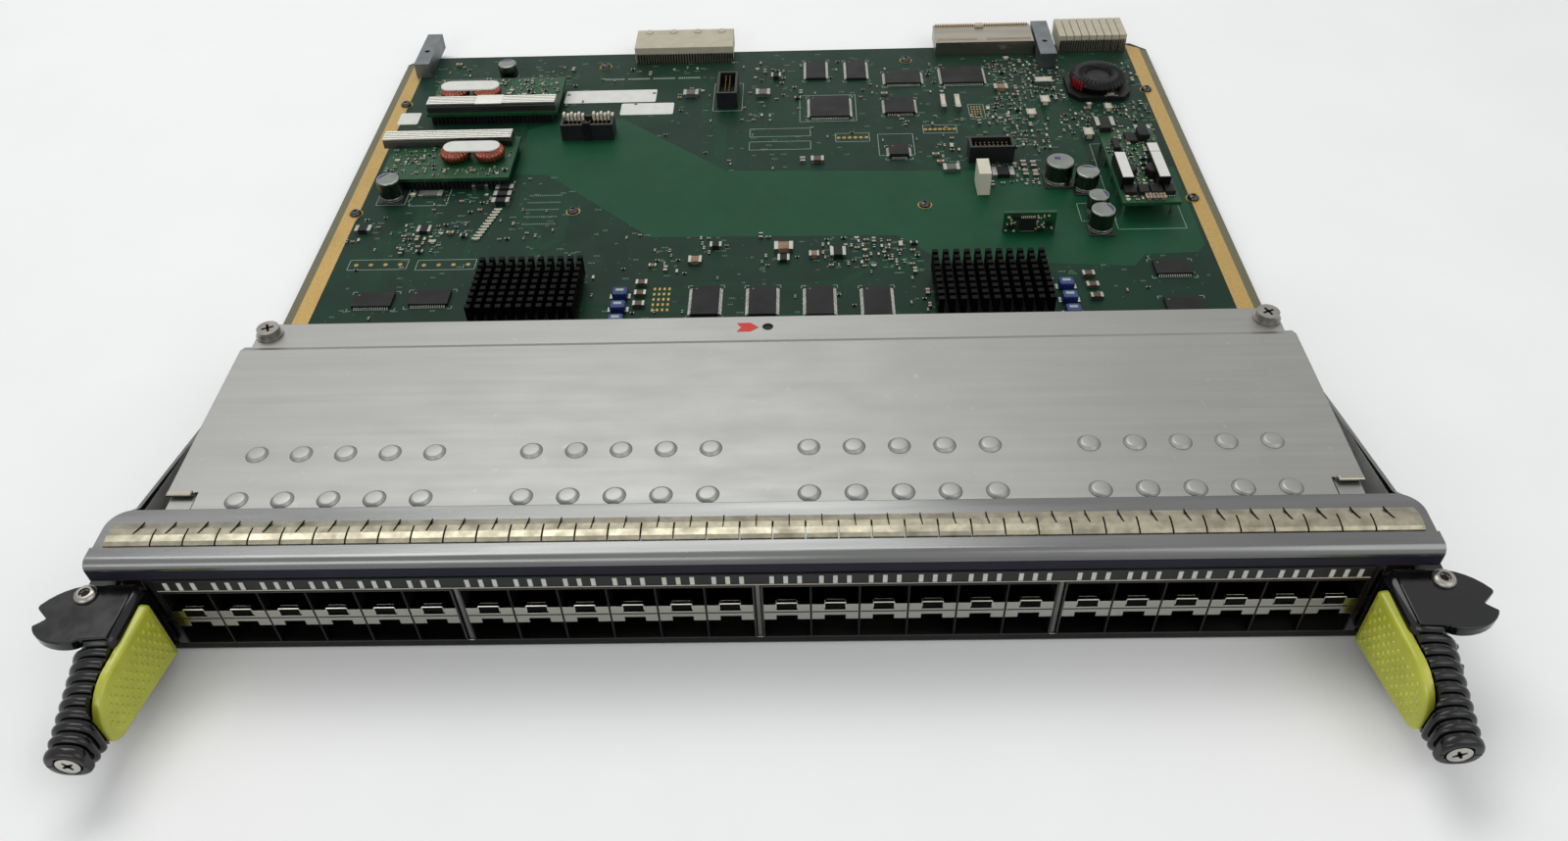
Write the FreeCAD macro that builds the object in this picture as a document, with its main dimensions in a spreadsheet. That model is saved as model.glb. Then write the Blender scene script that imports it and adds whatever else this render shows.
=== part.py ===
import FreeCAD, Part
import os
import re
import Sketcher

# Switch line card: a main board on a bottom pan, behind a folded steel faceplate with four ganged
# cages of stacked ports, a cover over the cages, rear connectors, and an ejector lever at each end.
# Lengths are in millimetres. X runs to the right as seen from the front, Y from the face to the rear
# connectors, Z up. The origin is on the face plane, at the middle of the width, at the underside.

DOC = FreeCAD.newDocument("switch_line_card")
VECTOR = FreeCAD.Vector

DRIVING = {
    # faceplate
    "face_width": 386, "face_height": 41.4, "face_sheet": 1.5, "nose_radius": 3,
    "nose_depth": 6.6, "flange_depth": 22, "flange_drop": 1, "flange_corner": 7,
    "lip_depth": 14, "gusset_sheet": 1.2, "gusset_front": 7, "gusset_depth": 143,
    "gusset_shoulder": 31.5, "window_margin": 0.25, "bezel_window_top": 34.5,
    "lever_notch_width": 14.7, "lever_notch_top": 34.4, "seat_gap": 0.2,
    # conductive gasket over the top flange
    "gasket_depth": 9.4, "gasket_rise": 1.7, "gasket_sheet": 0.4, "finger_pitch": 9.5,
    "finger_slit": 0.5, "slit_depth": 6.4,
    # stacked cages
    "gang_count": 4, "port_pitch": 14.25, "gang_gap": 2.4, "cage_sheet": 0.6,
    "cage_skin": 0.5, "port_height": 8.4, "divider_height": 7, "cage_proud": 0.8,
    "cage_depth": 48, "port_depth": 38, "tab_width": 5.2, "tab_rise": 1, "tab_sheet": 0.5,
    "notch_width": 6.3, "notch_height": 2.6, "notch_depth": 1.6, "lower_notch_height": 2,
    "edge_slot_width": 9.6, "edge_slot_height": 1.6, "edge_slot_depth": 5,
    # light pipes
    "pipe_pitch": 4, "pipe_width": 1.3, "pipe_height": 3.3, "pipe_proud": 0.15,
    "bezel_depth": 3.5, "bezel_front": -0.5,
    # boards and pan
    "board_overhang": 1, "board_front": 3, "board_rear": 376.3, "board_sheet": 2.4,
    "board_corner": 7, "pan_inset": 4, "pan_rear_inset": 6.3, "pan_sheet": 1.2,
    "spacer_height": 1, "spacer_radius": 3.2, "screw_head_radius": 2.5, "screw_head_height": 1.4,
    "edge_screw_inset": 8.7,
    # cover
    "cover_inset": 9.8, "cover_front": 8, "cover_rear": 117, "cover_top": 35,
    "cover_sheet": 1.2, "rear_flange_depth": 16, "joggle_run": 2.5, "rear_flange_inset": 2.7,
    "dimple_radius": 3.15, "dimple_rise": 0.9, "dimple_slope": 0.6,
    "dimple_row_front": 30.2, "dimple_row_rear": 49.9, "dimples_per_gang": 5,
    "tongue_width": 7.6, "tongue_slot": 1.1, "tongue_bend": 34, "tongue_drop": 1.3,
    "cover_hole_radius": 1.9, "pillar_radius": 3.2, "cover_screw_inset": 4.4, "cover_screw_back": 5.7,
    "washer_radius": 4.7, "washer_height": 0.8, "pan_head_radius": 3.9, "pan_head_height": 2.4,
    # levers
    "pivot_inset": 0.2, "pivot_y": -4.3, "lever_low": 3.5, "lever_high": 33.2, "claw_sheet": 3.6,
    "ear_sheet": 2, "ear_radius": 4, "running_gap": 0.3, "web_rear": 20, "web_sheet": 1.4,
    "block_rear": -0.4, "block_reach": 15.4, "block_front": -20.5, "block_round": 3.4,
    "grip_root_proud": 0.4, "grip_root_width": 14, "grip_root_half": 13.4,
    "grip_tip_inset": 2.2, "grip_tip_width": 12, "grip_tip_half": 5.2, "grip_front": -50.4,
    "cap_thick": 2.6, "rib_depth": 1.3, "rib_pitch": 3.35, "rib_thick": 2.1, "rib_count": 8,
    "split_gap": 0.1, "screw_inset": 8.4, "screw_shaft": 1.5, "bore_fit": 0.08, "screw_tip": 5.5,
    "head_radius": 3.3, "head_height": 2.6,
    "pivot_radius": 2, "pivot_fit": 0.05, "pivot_head_radius": 3.35, "pivot_head_height": 2,
    "post_radius": 3, "pad_inset": 17.8, "pad_lean": 7, "pad_sheet": 2.4, "pad_bevel": 1.1,
    "pad_low": 6.6, "pad_high": 30.4, "pad_rear": -5, "pad_front": -39.4, "pad_high_fall": 2.8,
    "pad_low_rise": 2.2, "pad_round": 13, "pad_toe": 4.5,
}

# Lengths worked out from the driving ones, kept as formulas in a second sheet.
DERIVED = {
    "face_half": "face_width / 2",
    "ports_per_row": "floor((face_width - 2 * lever_notch_width - gang_count * gang_gap)"
                     " / (gang_count * port_pitch))",
    "board_width": "face_width + 2 * board_overhang",
    "pan_width": "board_width - 2 * pan_inset",
    "pan_rear": "board_rear - pan_rear_inset",
    "cover_width": "face_width - 2 * cover_inset",
    "rear_flange_width": "cover_width - 2 * rear_flange_inset",
    "joggle_at": "cover_rear - rear_flange_depth",
    "cover_screw_x": "rear_flange_width / 2 - cover_screw_inset",
    "cover_screw_y": "cover_rear - cover_screw_back",
    "board_low": "pan_sheet + spacer_height",
    "board_top": "board_low + board_sheet",
    "gang_pitch": "ports_per_row * port_pitch + gang_gap",
    "cage_width": "ports_per_row * port_pitch + cage_sheet",
    "cage_inside": "cage_width - 2 * cage_sheet",
    "cage_height": "2 * port_height + divider_height + 2 * cage_skin",
    "cage_high": "board_top + cage_height",
    "port_floor": "board_top + cage_skin",
    "divider_low": "port_floor + port_height",
    "divider_high": "divider_low + divider_height",
    "port_width": "port_pitch - cage_sheet",
    "flange_top": "face_height - flange_drop",
    "notch_inner": "face_half - lever_notch_width",
    "pivot_x": "face_half - pivot_inset",
    "block_inner": "pivot_x - block_reach",
    "block_side": "pivot_x - ear_radius - running_gap",
    "grip_root_middle": "pivot_x + grip_root_proud - grip_root_width / 2",
    "grip_tip_middle": "pivot_x - grip_tip_inset - grip_tip_width / 2",
    "screw_x": "pivot_x - screw_inset",
    "pad_seat": "pivot_x - pad_inset",
    "screw_bore": "screw_shaft + bore_fit",
    "head_bore": "head_radius + running_gap",
    "middle_height": "(lever_low + lever_high) / 2",
    "lever_tall": "lever_high - lever_low",
    "ear_high_low": "lever_high - claw_sheet - running_gap - ear_sheet",
    "ear_low_low": "lever_low + claw_sheet + running_gap",
    "cover_low": "cover_top - cover_sheet",
    "flange_seat": "cover_low - cover_sheet",
    "rear_flange_top": "cover_low",
}


def fill_sheet(name, cells, prefix):
    """Make a spreadsheet whose cells carry the given aliases."""
    sheet = DOC.addObject("Spreadsheet::Sheet", name)
    for row, (alias, content) in enumerate(cells.items(), start=1):
        sheet.set("A%d" % row, alias)
        sheet.set("B%d" % row, prefix + str(content))
        sheet.setAlias("B%d" % row, alias)
    return sheet


def scoped(formula):
    """Write a formula's aliases with the name of the sheet that holds them."""
    def swap(match):
        word = match.group(0)
        if word in DRIVING:
            return "Sizes." + word
        if word in DERIVED:
            return "Places." + word
        return word
    return re.sub(r"[A-Za-z_]\w*", swap, str(formula))


SIZES = fill_sheet("Sizes", DRIVING, "")
PLACES = fill_sheet("Places", {name: scoped(text) for name, text in DERIVED.items()}, "=")
DOC.recompute()


def size(alias):
    """The number that a sheet holds under an alias."""
    sheet = SIZES if alias in DRIVING else PLACES
    return float(sheet.get(alias))


def bind(thing, **formulas):
    """Bind properties to formulas; x, y and z stand for the placement's base."""
    for name, formula in formulas.items():
        target = "Placement.Base." + name if name in ("x", "y", "z") else name
        thing.setExpression(target, scoped(formula))
    return thing


def box(x, y, z, length, width, height):
    """A box from its low corner and its three sides."""
    return bind(DOC.addObject("Part::Box", "Box"), x=x, y=y, z=z,
                Length=length, Width=width, Height=height)


def rod(x, y, z, radius, height):
    """An upright cylinder from the centre of its lower end."""
    return bind(DOC.addObject("Part::Cylinder", "Rod"), x=x, y=y, z=z, Radius=radius, Height=height)


def prism(x, y, z, sides, radius, height):
    """An upright prism of so many sides, from the centre of its lower end."""
    thing = DOC.addObject("Part::Prism", "Prism")
    thing.Polygon = sides
    return bind(thing, x=x, y=y, z=z, Circumradius=radius, Height=height)


def lying(thing):
    """Tip an upright rod or prism so that it runs towards the rear from its front end."""
    thing.Placement = FreeCAD.Placement(VECTOR(), FreeCAD.Rotation(VECTOR(1, 0, 0), -90))
    return thing


def lying_rod(x, y, z, radius, height):
    return lying(rod(x, y, z, radius, height))


def joined(things):
    """One solid from overlapping things."""
    result = DOC.addObject("Part::MultiFuse", "Fuse")
    result.Shapes = things
    return result


def loose(things):
    """Separate solids kept in one object."""
    result = DOC.addObject("Part::Compound", "Group")
    result.Links = things
    return result


def less(base, tool):
    """The base without the tool."""
    result = DOC.addObject("Part::Cut", "Cut")
    result.Base = base
    result.Tool = tool
    return result


def common(first, second):
    """What two things share."""
    result = DOC.addObject("Part::Common", "Common")
    result.Base = first
    result.Tool = second
    return result


def mirrored(source):
    """The mirror image of a thing across the middle of the card."""
    result = DOC.addObject("Part::Mirroring", "Mirror")
    result.Source = source
    result.Normal = VECTOR(1, 0, 0)
    return result


def both_sides(thing):
    """A thing and its mirror image."""
    return [thing, mirrored(thing)]


def new_body():
    return DOC.addObject("PartDesign::Body", "Body")


def origin_feature(body, role):
    return next(item for item in body.Origin.OriginFeatures if item.Role == role)


def number(formula):
    """Evaluate a formula of the sheets at the present sizes."""
    SIZES.recompute()
    return float(SIZES.evalExpression(scoped(formula)))


def profile(body, role, corners):
    """A closed sketch of straight edges on an origin plane, each corner bound to two formulas."""
    sketch = body.newObject("Sketcher::SketchObject", "Sketch")
    sketch.AttachmentSupport = [(origin_feature(body, role), "")]
    sketch.MapMode = "FlatFace"
    spots = [VECTOR(number(across), number(up), 0) for across, up in corners]
    for index, spot in enumerate(spots):
        sketch.addGeometry(Part.LineSegment(spot, spots[(index + 1) % len(spots)]), False)
    for index, (across, up) in enumerate(corners):
        following = (index + 1) % len(corners)
        sketch.addConstraint(Sketcher.Constraint("Coincident", index, 2, following, 1))
        for kind, formula in (("DistanceX", across), ("DistanceY", up)):
            value = number(formula)
            held = sketch.addConstraint(Sketcher.Constraint(kind, -1, 1, index, 1, value))
            sketch.setExpression("Constraints[%d]" % held, scoped(formula))
    return sketch


def pad(body, sketch, length, both_ways=False, backwards=False):
    feature = body.newObject("PartDesign::Pad", "Pad")
    feature.Profile = sketch
    feature.SideType = "Symmetric" if both_ways else "One side"
    feature.Reversed = backwards
    return bind(feature, Length=length)


def pocket(body, sketch, depth, backwards=False):
    feature = body.newObject("PartDesign::Pocket", "Pocket")
    feature.Profile = sketch
    feature.Reversed = backwards
    return bind(feature, Length=depth)


def edges_where(shape, test):
    """The names of a shape's edges whose bounding box passes a test."""
    return ["Edge%d" % (index + 1) for index, edge in enumerate(shape.Edges)
            if test(edge.BoundBox)]


def fillet(body, base, test, radius):
    """Round the edges of a feature that pass a test."""
    DOC.recompute()
    feature = body.newObject("PartDesign::Fillet", "Fillet")
    feature.Base = (base, edges_where(base.Shape, test))
    return bind(feature, Radius=radius)


NODES = []


def node(name, thing):
    """Give the finished thing its node's name."""
    thing.Label = name
    NODES.append(thing)
    return thing


def close(value, wanted):
    return abs(value - wanted) < 0.01


# ---------------------------------------------------------------- faceplate

def gang_centres():
    """Formulas for the middle of each gang, from left to right."""
    count = int(size("gang_count"))
    return ["(%d - (gang_count - 1) / 2) * gang_pitch" % index for index in range(count)]


def port_offsets():
    """Formulas for the middle of each port column in a gang."""
    count = int(size("ports_per_row"))
    return ["(%d - (ports_per_row - 1) / 2) * port_pitch" % index for index in range(count)]


def face_channel():
    """The folded channel: bottom lip, front wall, nose and top flange."""
    body = new_body()
    section = profile(body, "YZ_Plane", [
        ("0", "0"), ("lip_depth", "0"), ("lip_depth", "face_sheet"),
        ("face_sheet", "face_sheet"), ("face_sheet", "flange_top - face_sheet"),
        ("flange_depth", "flange_top - face_sheet"), ("flange_depth", "flange_top"),
        ("nose_depth", "flange_top"), ("nose_depth", "face_height"), ("0", "face_height")])
    wall = pad(body, section, "face_width", both_ways=True)
    front_edge = lambda box_: close(box_.YMax, 0) and close(box_.ZMin, size("face_height"))
    rounded = fillet(body, wall, front_edge, "nose_radius")
    low_edge = lambda box_: close(box_.YMax, 0) and close(box_.ZMax, 0)
    fillet(body, rounded, low_edge, "face_sheet * 0.9")
    return body


def gusset():
    """The right-hand side return that stiffens the face and runs down to the board."""
    body = new_body()
    high = "flange_top - face_sheet / 2"
    outline = profile(body, "YZ_Plane", [
        ("gusset_front", "board_top + seat_gap"), ("gusset_front + gusset_depth", "board_top + seat_gap"),
        ("gusset_front + gusset_depth", "board_top + 1.6"),
        ("gusset_front + gusset_depth / 2", "(gusset_shoulder + board_top) / 2 + 3.5"),
        ("flange_depth + 9", "gusset_shoulder"), ("flange_depth + 2", "gusset_shoulder + 4.5"),
        ("flange_depth - 3", "gusset_shoulder + 6.6"), ("flange_depth - flange_corner - 1", high),
        ("gusset_front", high)])
    pad(body, outline, "gusset_sheet", backwards=True)
    return bind(body, x="face_half")


def flange_corner():
    """What rounds one rear corner of the top flange."""
    spare = box("face_half - flange_corner", "flange_depth - flange_corner", "gusset_shoulder",
                "2 * flange_corner", "2 * flange_corner", "face_height")
    keep = rod("face_half - flange_corner", "flange_depth - flange_corner", "gusset_shoulder",
               "flange_corner", "face_height")
    return less(spare, keep)


def faceplate():
    windows = [box("%s - cage_width / 2 - window_margin" % centre, "-1", "board_top - 0.4",
                   "cage_width + 2 * window_margin", "face_sheet + 1.5",
                   "cage_height + 0.4 + seat_gap / 2")
               for centre in gang_centres()]
    pipe_window = box("-(gang_count - 1) / 2 * gang_pitch - cage_width / 2 - window_margin", "-1",
                      "cage_high + seat_gap / 2",
                      "(gang_count - 1) * gang_pitch + cage_width + 2 * window_margin",
                      "face_sheet + 1.5", "bezel_window_top - cage_high - seat_gap / 2")
    notch = box("notch_inner", "-1", "face_sheet", "lever_notch_width + 1", "face_sheet + 1.5",
                "lever_notch_top - face_sheet")
    trimmed = less(face_channel(), loose(windows + [pipe_window] + both_sides(notch)
                                         + both_sides(flange_corner())))
    node("faceplate", joined([trimmed] + both_sides(gusset())))


def gasket():
    """The spring-finger strip, a thin arched section slit into fingers from its front edge."""
    body = new_body()
    rise = [("0", "0"), ("0.5", "0.55"), ("1.6", "0.85"), ("3.8", "1"), ("6.4", "0.85"), ("9.4", "0.25")]
    back = "gasket_depth"
    outer = [("%s * %s / 9.4" % (along, back), "%s * gasket_rise" % up) for along, up in rise]
    inner = [("gasket_sheet + (%s) * (1 - 2 * gasket_sheet / gasket_depth)" % along,
              "%s - gasket_sheet" % up) for along, up in outer[1:-1]]
    feet = [("gasket_depth", "0"), ("gasket_depth - gasket_sheet", "0")]
    corners = outer + feet + inner[::-1] + [("gasket_sheet", "0")]
    pad(body, profile(body, "YZ_Plane", corners), "face_width - flange_corner", both_ways=True)
    slit = profile(body, "XY_Plane", [
        ("finger_pitch / 2 - finger_slit / 2", "-1"), ("finger_pitch / 2 + finger_slit / 2", "-1"),
        ("finger_pitch / 2 + finger_slit / 2", "slit_depth"),
        ("finger_pitch / 2 - finger_slit / 2", "slit_depth")])
    cut = pocket(body, slit, "2 * gasket_rise", backwards=True)
    DOC.recompute()
    fingers = int((size("face_width") / 2 - size("flange_corner")) / size("finger_pitch"))
    for reverse in (False, True):
        row = body.newObject("PartDesign::LinearPattern", "Slits")
        row.Originals = [cut]
        row.Direction = (origin_feature(body, "X_Axis"), [""])
        row.Reversed = reverse
        row.Mode = "Spacing"
        row.Occurrences = fingers + (1 if reverse else 0)
        bind(row, Offset="finger_pitch")
        body.Tip = row
    node("gasket_strip", bind(body, y="nose_depth + 0.2", z="flange_top"))


# ---------------------------------------------------------------- ports

def cage_shell(number_, centre):
    outer = box("%s - cage_width / 2" % centre, "-cage_proud", "board_top",
                "cage_width", "cage_depth", "cage_height")
    inner = box("%s - cage_inside / 2" % centre, "-cage_proud - 1", "port_floor",
                "cage_inside", "cage_depth + 1 - cage_sheet", "cage_height - 2 * cage_skin")
    node("cage_shell_%d" % number_, less(outer, inner))


def separators(number_, centre):
    sheets = [box("%s + %s + port_pitch / 2 - cage_sheet / 2" % (centre, offset), "-cage_proud",
                  "port_floor", "cage_sheet", "port_depth", "cage_height - 2 * cage_skin")
              for offset in port_offsets()[:-1]]
    node("port_separators_%d" % number_, loose(sheets))


def divider(centre):
    """The block between an upper and a lower port, notched at its front, with its latch tab."""
    block = box("%s - port_width / 2" % centre, "-cage_proud", "divider_low",
                "port_width", "port_depth", "divider_height")
    notch = box("%s - notch_width / 2" % centre, "-cage_proud - 1", "divider_high - notch_height",
                "notch_width", "notch_depth + 1", "notch_height + 1")
    low_notch = box("%s - notch_width / 2" % centre, "-cage_proud - 1", "divider_low - 1",
                    "notch_width", "notch_depth + 1", "lower_notch_height + 1")
    tab = box("%s - tab_width / 2" % centre, "notch_depth - cage_proud - tab_sheet",
              "divider_high - notch_height", "tab_width", "2 * tab_sheet",
              "notch_height + tab_rise")
    return joined([less(block, loose([notch, low_notch])), tab])


def dividers(number_, centre):
    blocks = [divider("(%s + %s)" % (centre, offset)) for offset in port_offsets()]
    node("port_dividers_%d" % number_, loose(blocks))


def connector_block(number_, centre):
    """The contact block behind a gang, with one card-edge slot for each port."""
    block = box("%s - cage_inside / 2" % centre, "port_depth - cage_proud", "port_floor",
                "cage_inside", "cage_depth - port_depth - cage_sheet", "cage_height - 2 * cage_skin")
    slots = [box("%s + %s - edge_slot_width / 2" % (centre, offset), "port_depth - cage_proud - 1",
                 "%s + port_height / 2 - edge_slot_height / 2" % floor,
                 "edge_slot_width", "edge_slot_depth + 1", "edge_slot_height")
             for offset in port_offsets() for floor in ("port_floor", "divider_high")]
    node("port_connector_%d" % number_, less(block, loose(slots)))


def ports():
    for index, centre in enumerate(gang_centres(), start=1):
        cage_shell(index, centre)
        separators(index, centre)
        dividers(index, centre)
        connector_block(index, centre)


def light_pipes():
    width = "((gang_count - 1) * gang_pitch + cage_width)"
    node("light_pipe_bezel", box("-%s / 2" % width, "bezel_front", "cage_high + seat_gap", width,
                                 "bezel_depth", "bezel_window_top - cage_high - 2 * seat_gap"))
    middle = "(bezel_window_top + cage_high) / 2"
    pipes = [box("%s + %s + %d * pipe_pitch - pipe_width / 2" % (centre, offset, step),
                 "bezel_front - pipe_proud", "%s - pipe_height / 2" % middle,
                 "pipe_width", "pipe_proud", "pipe_height")
             for centre in gang_centres() for offset in port_offsets() for step in (-1, 0, 1)]
    node("light_pipes", loose(pipes))


# ---------------------------------------------------------------- board and pan

def main_board():
    body = new_body()
    half = "board_width / 2"
    outline = profile(body, "XY_Plane", [
        ("-" + half, "board_front"), (half, "board_front"), (half, "board_rear - board_corner"),
        (half + " - board_corner", "board_rear"), ("board_corner - " + half, "board_rear"),
        ("-" + half, "board_rear - board_corner")])
    pad(body, outline, "board_sheet")
    node("main_board", bind(body, z="board_low"))


def bottom_pan():
    body = new_body()
    outline = profile(body, "XY_Plane", [
        ("-pan_width / 2", "lip_depth + seat_gap"), ("pan_width / 2", "lip_depth + seat_gap"),
        ("pan_width / 2", "pan_rear - board_corner"), ("pan_width / 2 - board_corner", "pan_rear"),
        ("board_corner - pan_width / 2", "pan_rear"), ("-pan_width / 2", "pan_rear - board_corner")])
    pad(body, outline, "pan_sheet")
    node("bottom_pan", body)


# The tables of parts give places on a board of this width, whose parts lie between these two lines.
# On a board of another size the parts spread in proportion and keep their own sizes.
TABLE_WIDTH = 388
TABLE_FRONT = 117
TABLE_REAR = 376.3


def across(x):
    """Where a table's x comes to lie."""
    return "(%s) * board_width / %s" % (x, TABLE_WIDTH)


def along(y):
    """Where a table's y comes to lie."""
    return "(cover_rear + (%s) * (board_rear - cover_rear) / %s)" % (y - TABLE_FRONT,
                                                                    TABLE_REAR - TABLE_FRONT)


def corner_of(x, y, length, width):
    """Formulas for the low corner of a part, from the place that its table gives."""
    return ("%s - %s / 2" % (across(x + length / 2), length),
            "%s - %s / 2" % (along(y + width / 2), width))


INNER_SCREWS = ((-88, 133), (68, 133), (-87.8, 229.3), (67.8, 229.3), (-88.4, 363), (68.3, 363))
EDGE_SCREW_ROWS = (133, 230.5, 327)


def board_screws():
    edge = "(board_width / 2 - edge_screw_inset)"
    spots = [(across(x), along(y)) for x, y in INNER_SCREWS]
    spots += [(sign + edge, along(y)) for y in EDGE_SCREW_ROWS for sign in ("-", "")]
    node("board_spacers", loose([prism(x, y, "pan_sheet", 6, "spacer_radius", "spacer_height")
                                 for x, y in spots]))
    node("board_screws", loose([prism(x, y, "board_top", 14, "screw_head_radius",
                                      "screw_head_height") for x, y in spots]))


# ---------------------------------------------------------------- cover

def cover_sheet_body():
    """The joggled sheet, as a section swept over the cover's width."""
    body = new_body()
    section = profile(body, "YZ_Plane", [
        ("cover_front", "cover_low"), ("joggle_at", "cover_low"),
        ("joggle_at + joggle_run", "flange_seat"), ("cover_rear", "flange_seat"),
        ("cover_rear", "rear_flange_top"), ("joggle_at + joggle_run + 0.5", "rear_flange_top"),
        ("joggle_at + 0.5", "cover_top"), ("cover_front", "cover_top")])
    pad(body, section, "cover_width", both_ways=True)
    return body


def frustum(x, y, z, sides, low_radius, high_radius, height):
    """A short tapered prism."""
    rims = []
    for level, radius in (("(%s)" % z, low_radius), ("(%s + %s)" % (z, height), high_radius)):
        rim = DOC.addObject("Part::RegularPolygon", "Rim")
        rim.Polygon = sides
        rims.append(bind(rim, x=x, y=y, z=level, Circumradius=radius))
    loft = DOC.addObject("Part::Loft", "Frustum")
    loft.Sections = rims
    loft.Solid = True
    loft.Ruled = True
    return loft


def dimples():
    """Raised bosses with sloping sides in two rows over each gang."""
    count = int(size("dimples_per_gang"))
    bosses = []
    for centre in gang_centres():
        for index in range(count):
            for row in ("dimple_row_front", "dimple_row_rear"):
                spot = "%s + (%d - (dimples_per_gang - 1) / 2) * port_pitch" % (centre, index)
                bosses.append(frustum(spot, row, "cover_top", 12, "dimple_radius",
                                      "dimple_radius - dimple_slope", "dimple_rise"))
    return bosses


def cover():
    corner = box("cover_width / 2 - tongue_width - 2 * tongue_slot", "cover_front - 1",
                 "cover_low - 1", "tongue_width + 2 * tongue_slot + 1",
                 "tongue_bend - cover_front + 1", "cover_sheet + 2")
    flange_end = box("rear_flange_width / 2", "joggle_at + joggle_run + 1", "flange_seat - 1",
                     "cover_width", "cover_rear", "2 * cover_sheet + 2")
    hole = rod("1.5", "cover_screw_y", "flange_seat - 1", "cover_hole_radius", "cover_sheet + 2")
    sheet = less(cover_sheet_body(), loose(both_sides(corner) + both_sides(flange_end) + [hole]))
    tongue_x = "cover_width / 2 - tongue_width - tongue_slot"
    tongue = box(tongue_x, "cover_front + 4", "cover_low - tongue_drop",
                 "tongue_width", "tongue_bend - cover_front - 3", "cover_sheet")
    bend = box(tongue_x, "tongue_bend - 0.2", "cover_low - tongue_drop",
               "tongue_width", "cover_sheet", "cover_sheet + tongue_drop")
    node("cover_plate", joined([sheet] + dimples() + both_sides(tongue) + both_sides(bend)))


def cover_fixings():
    pillar = prism("cover_screw_x", "cover_screw_y", "board_top", 6, "pillar_radius",
                   "flange_seat - board_top")
    node("cover_pillars", loose(both_sides(pillar)))
    washer = rod("cover_screw_x", "cover_screw_y", "rear_flange_top", "washer_radius", "washer_height")
    head = rod("cover_screw_x", "cover_screw_y", "rear_flange_top + washer_height",
               "pan_head_radius", "pan_head_height")
    node("cover_screws", loose(both_sides(joined([washer, head]))))


# ---------------------------------------------------------------- rear connectors

REAR = {
    # name: where its low x is counted from, low x, length, front, depth, height over the board
    "guide_block_left": ("-board_width / 2", 7.8, 7.8, 21.1, 33.4, 7.7),
    "signal_connector": ("0", -72.7, 51.1, 10.5, 20.2, 8.4),
    "shielded_connector": ("board_width / 2", -110, 50.8, 9.1, 19.8, 7.2),
    "guide_block_right": ("board_width / 2", -58.2, 8.4, 24.3, 36.6, 7.7),
}
POWER_PLACE = "board_width / 2 - 46"
POWER_WAFERS = 9
WAFER_PITCH = 3.91
WAFER_GAP = 0.4


def guide_block(low, front, length, depth, height):
    """A guide block with its fixing hole and the socket for the backplane's pin."""
    blank = box(low, front, "board_top", length, depth, height)
    middle = "%s + %s / 2" % (low, length)
    hole = prism(middle, front + " + 14", "board_top + %s - 3" % height, 12, 1.4, 4)
    socket = lying_rod(middle, "%s + %s - 15" % (front, depth), "board_top + %s / 2" % height, 2.4, 16)
    return less(blank, loose([hole, socket]))


def signal_block(low, front, length, depth, height):
    """A header with four rows of contact slots in its rear."""
    rows = [box(low + " + 2", "%s + %s - 6" % (front, depth), "board_top + 1.4 + %s" % (row * 1.6),
                length - 4, 7, 0.8) for row in range(4)]
    return less(box(low, front, "board_top", length, depth, height), loose(rows))


def shielded_block(low, front, length, depth, height):
    """A shell with one wide mouth in its rear."""
    mouth = box(low + " + 1.2", "%s + %s - 8" % (front, depth), "board_top + 1.6", length - 2.4, 9, 4)
    return less(box(low, front, "board_top", length, depth, height), mouth)


REAR_SHAPES = {"guide": guide_block, "signal": signal_block, "shielded": shielded_block}


def rear_connectors():
    for name, (start, offset, length, front, depth, height) in REAR.items():
        shape = REAR_SHAPES[name.split("_")[0]]
        low = "(%s + %s)" % (start, offset)
        node(name, shape(low, "board_rear - %s" % front, length, depth, height))
    wafers = [box("%s + %s" % (POWER_PLACE, WAFER_PITCH * index), "board_rear - 7.5", "board_top",
                  WAFER_PITCH - WAFER_GAP, 19.6, 8.6) for index in range(POWER_WAFERS)]
    web = box(POWER_PLACE, "board_rear - 6.7", "board_top", WAFER_PITCH * POWER_WAFERS - WAFER_GAP,
              12, 6.8)
    node("power_connector", joined(wafers + [web]))


# ---------------------------------------------------------------- parts on the board

def on_board(parts, lift="board_top"):
    """Boxes that stand on the board: low x, low y, length, width, height."""
    return [box(*corner_of(x, y, length, width), lift, length, width, height)
            for x, y, length, width, height in parts]


CONVERTERS = (
    # low x, low y, length, width, then from that corner: bar x, bar y, bar length, choke x, choke y
    (-169, 306.5, 63.5, 35, 0.3, 1, 62.9, 4.5, 10.3),
    (-178, 248.6, 59, 35.4, -4, 26.8, 60.4, 26.6, 8),
)
MODULE_LIFT = 4.4
MODULE_SHEET = 1.6
PIN_SIDE = 1.1
PINS_PER_ROW = 8


def pin_rows(x, y, length, width, inset, lift):
    """Square pins along the two long edges of a raised board."""
    step = (length - 2 * inset) / (PINS_PER_ROW - 1)
    return [box("%s + %s" % (x, inset + index * step - PIN_SIDE / 2), "%s + %s" % (y, row), "board_top",
                PIN_SIDE, PIN_SIDE, lift)
            for index in range(PINS_PER_ROW) for row in (1.7, width - 2.8)]


def choke_pair(x, y, low):
    """Two ring chokes standing side by side, tied together by a strip over their tops."""
    rings = []
    for step in (0, 1):
        centre = "%s + %s" % (x, 7 + 14.4 * step)
        ring = lying(prism(centre, y, low + " + 6.6", 18, 6.6, 10.8))
        bore = lying(prism(centre, y + " - 1", low + " + 6.6", 10, 2.6, 13))
        rings.append(less(ring, bore))
    return rings + [box(x + " + 4", y + " + 1", low + " + 13.2", 20.6, 8.8, 0.6)]


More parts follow.
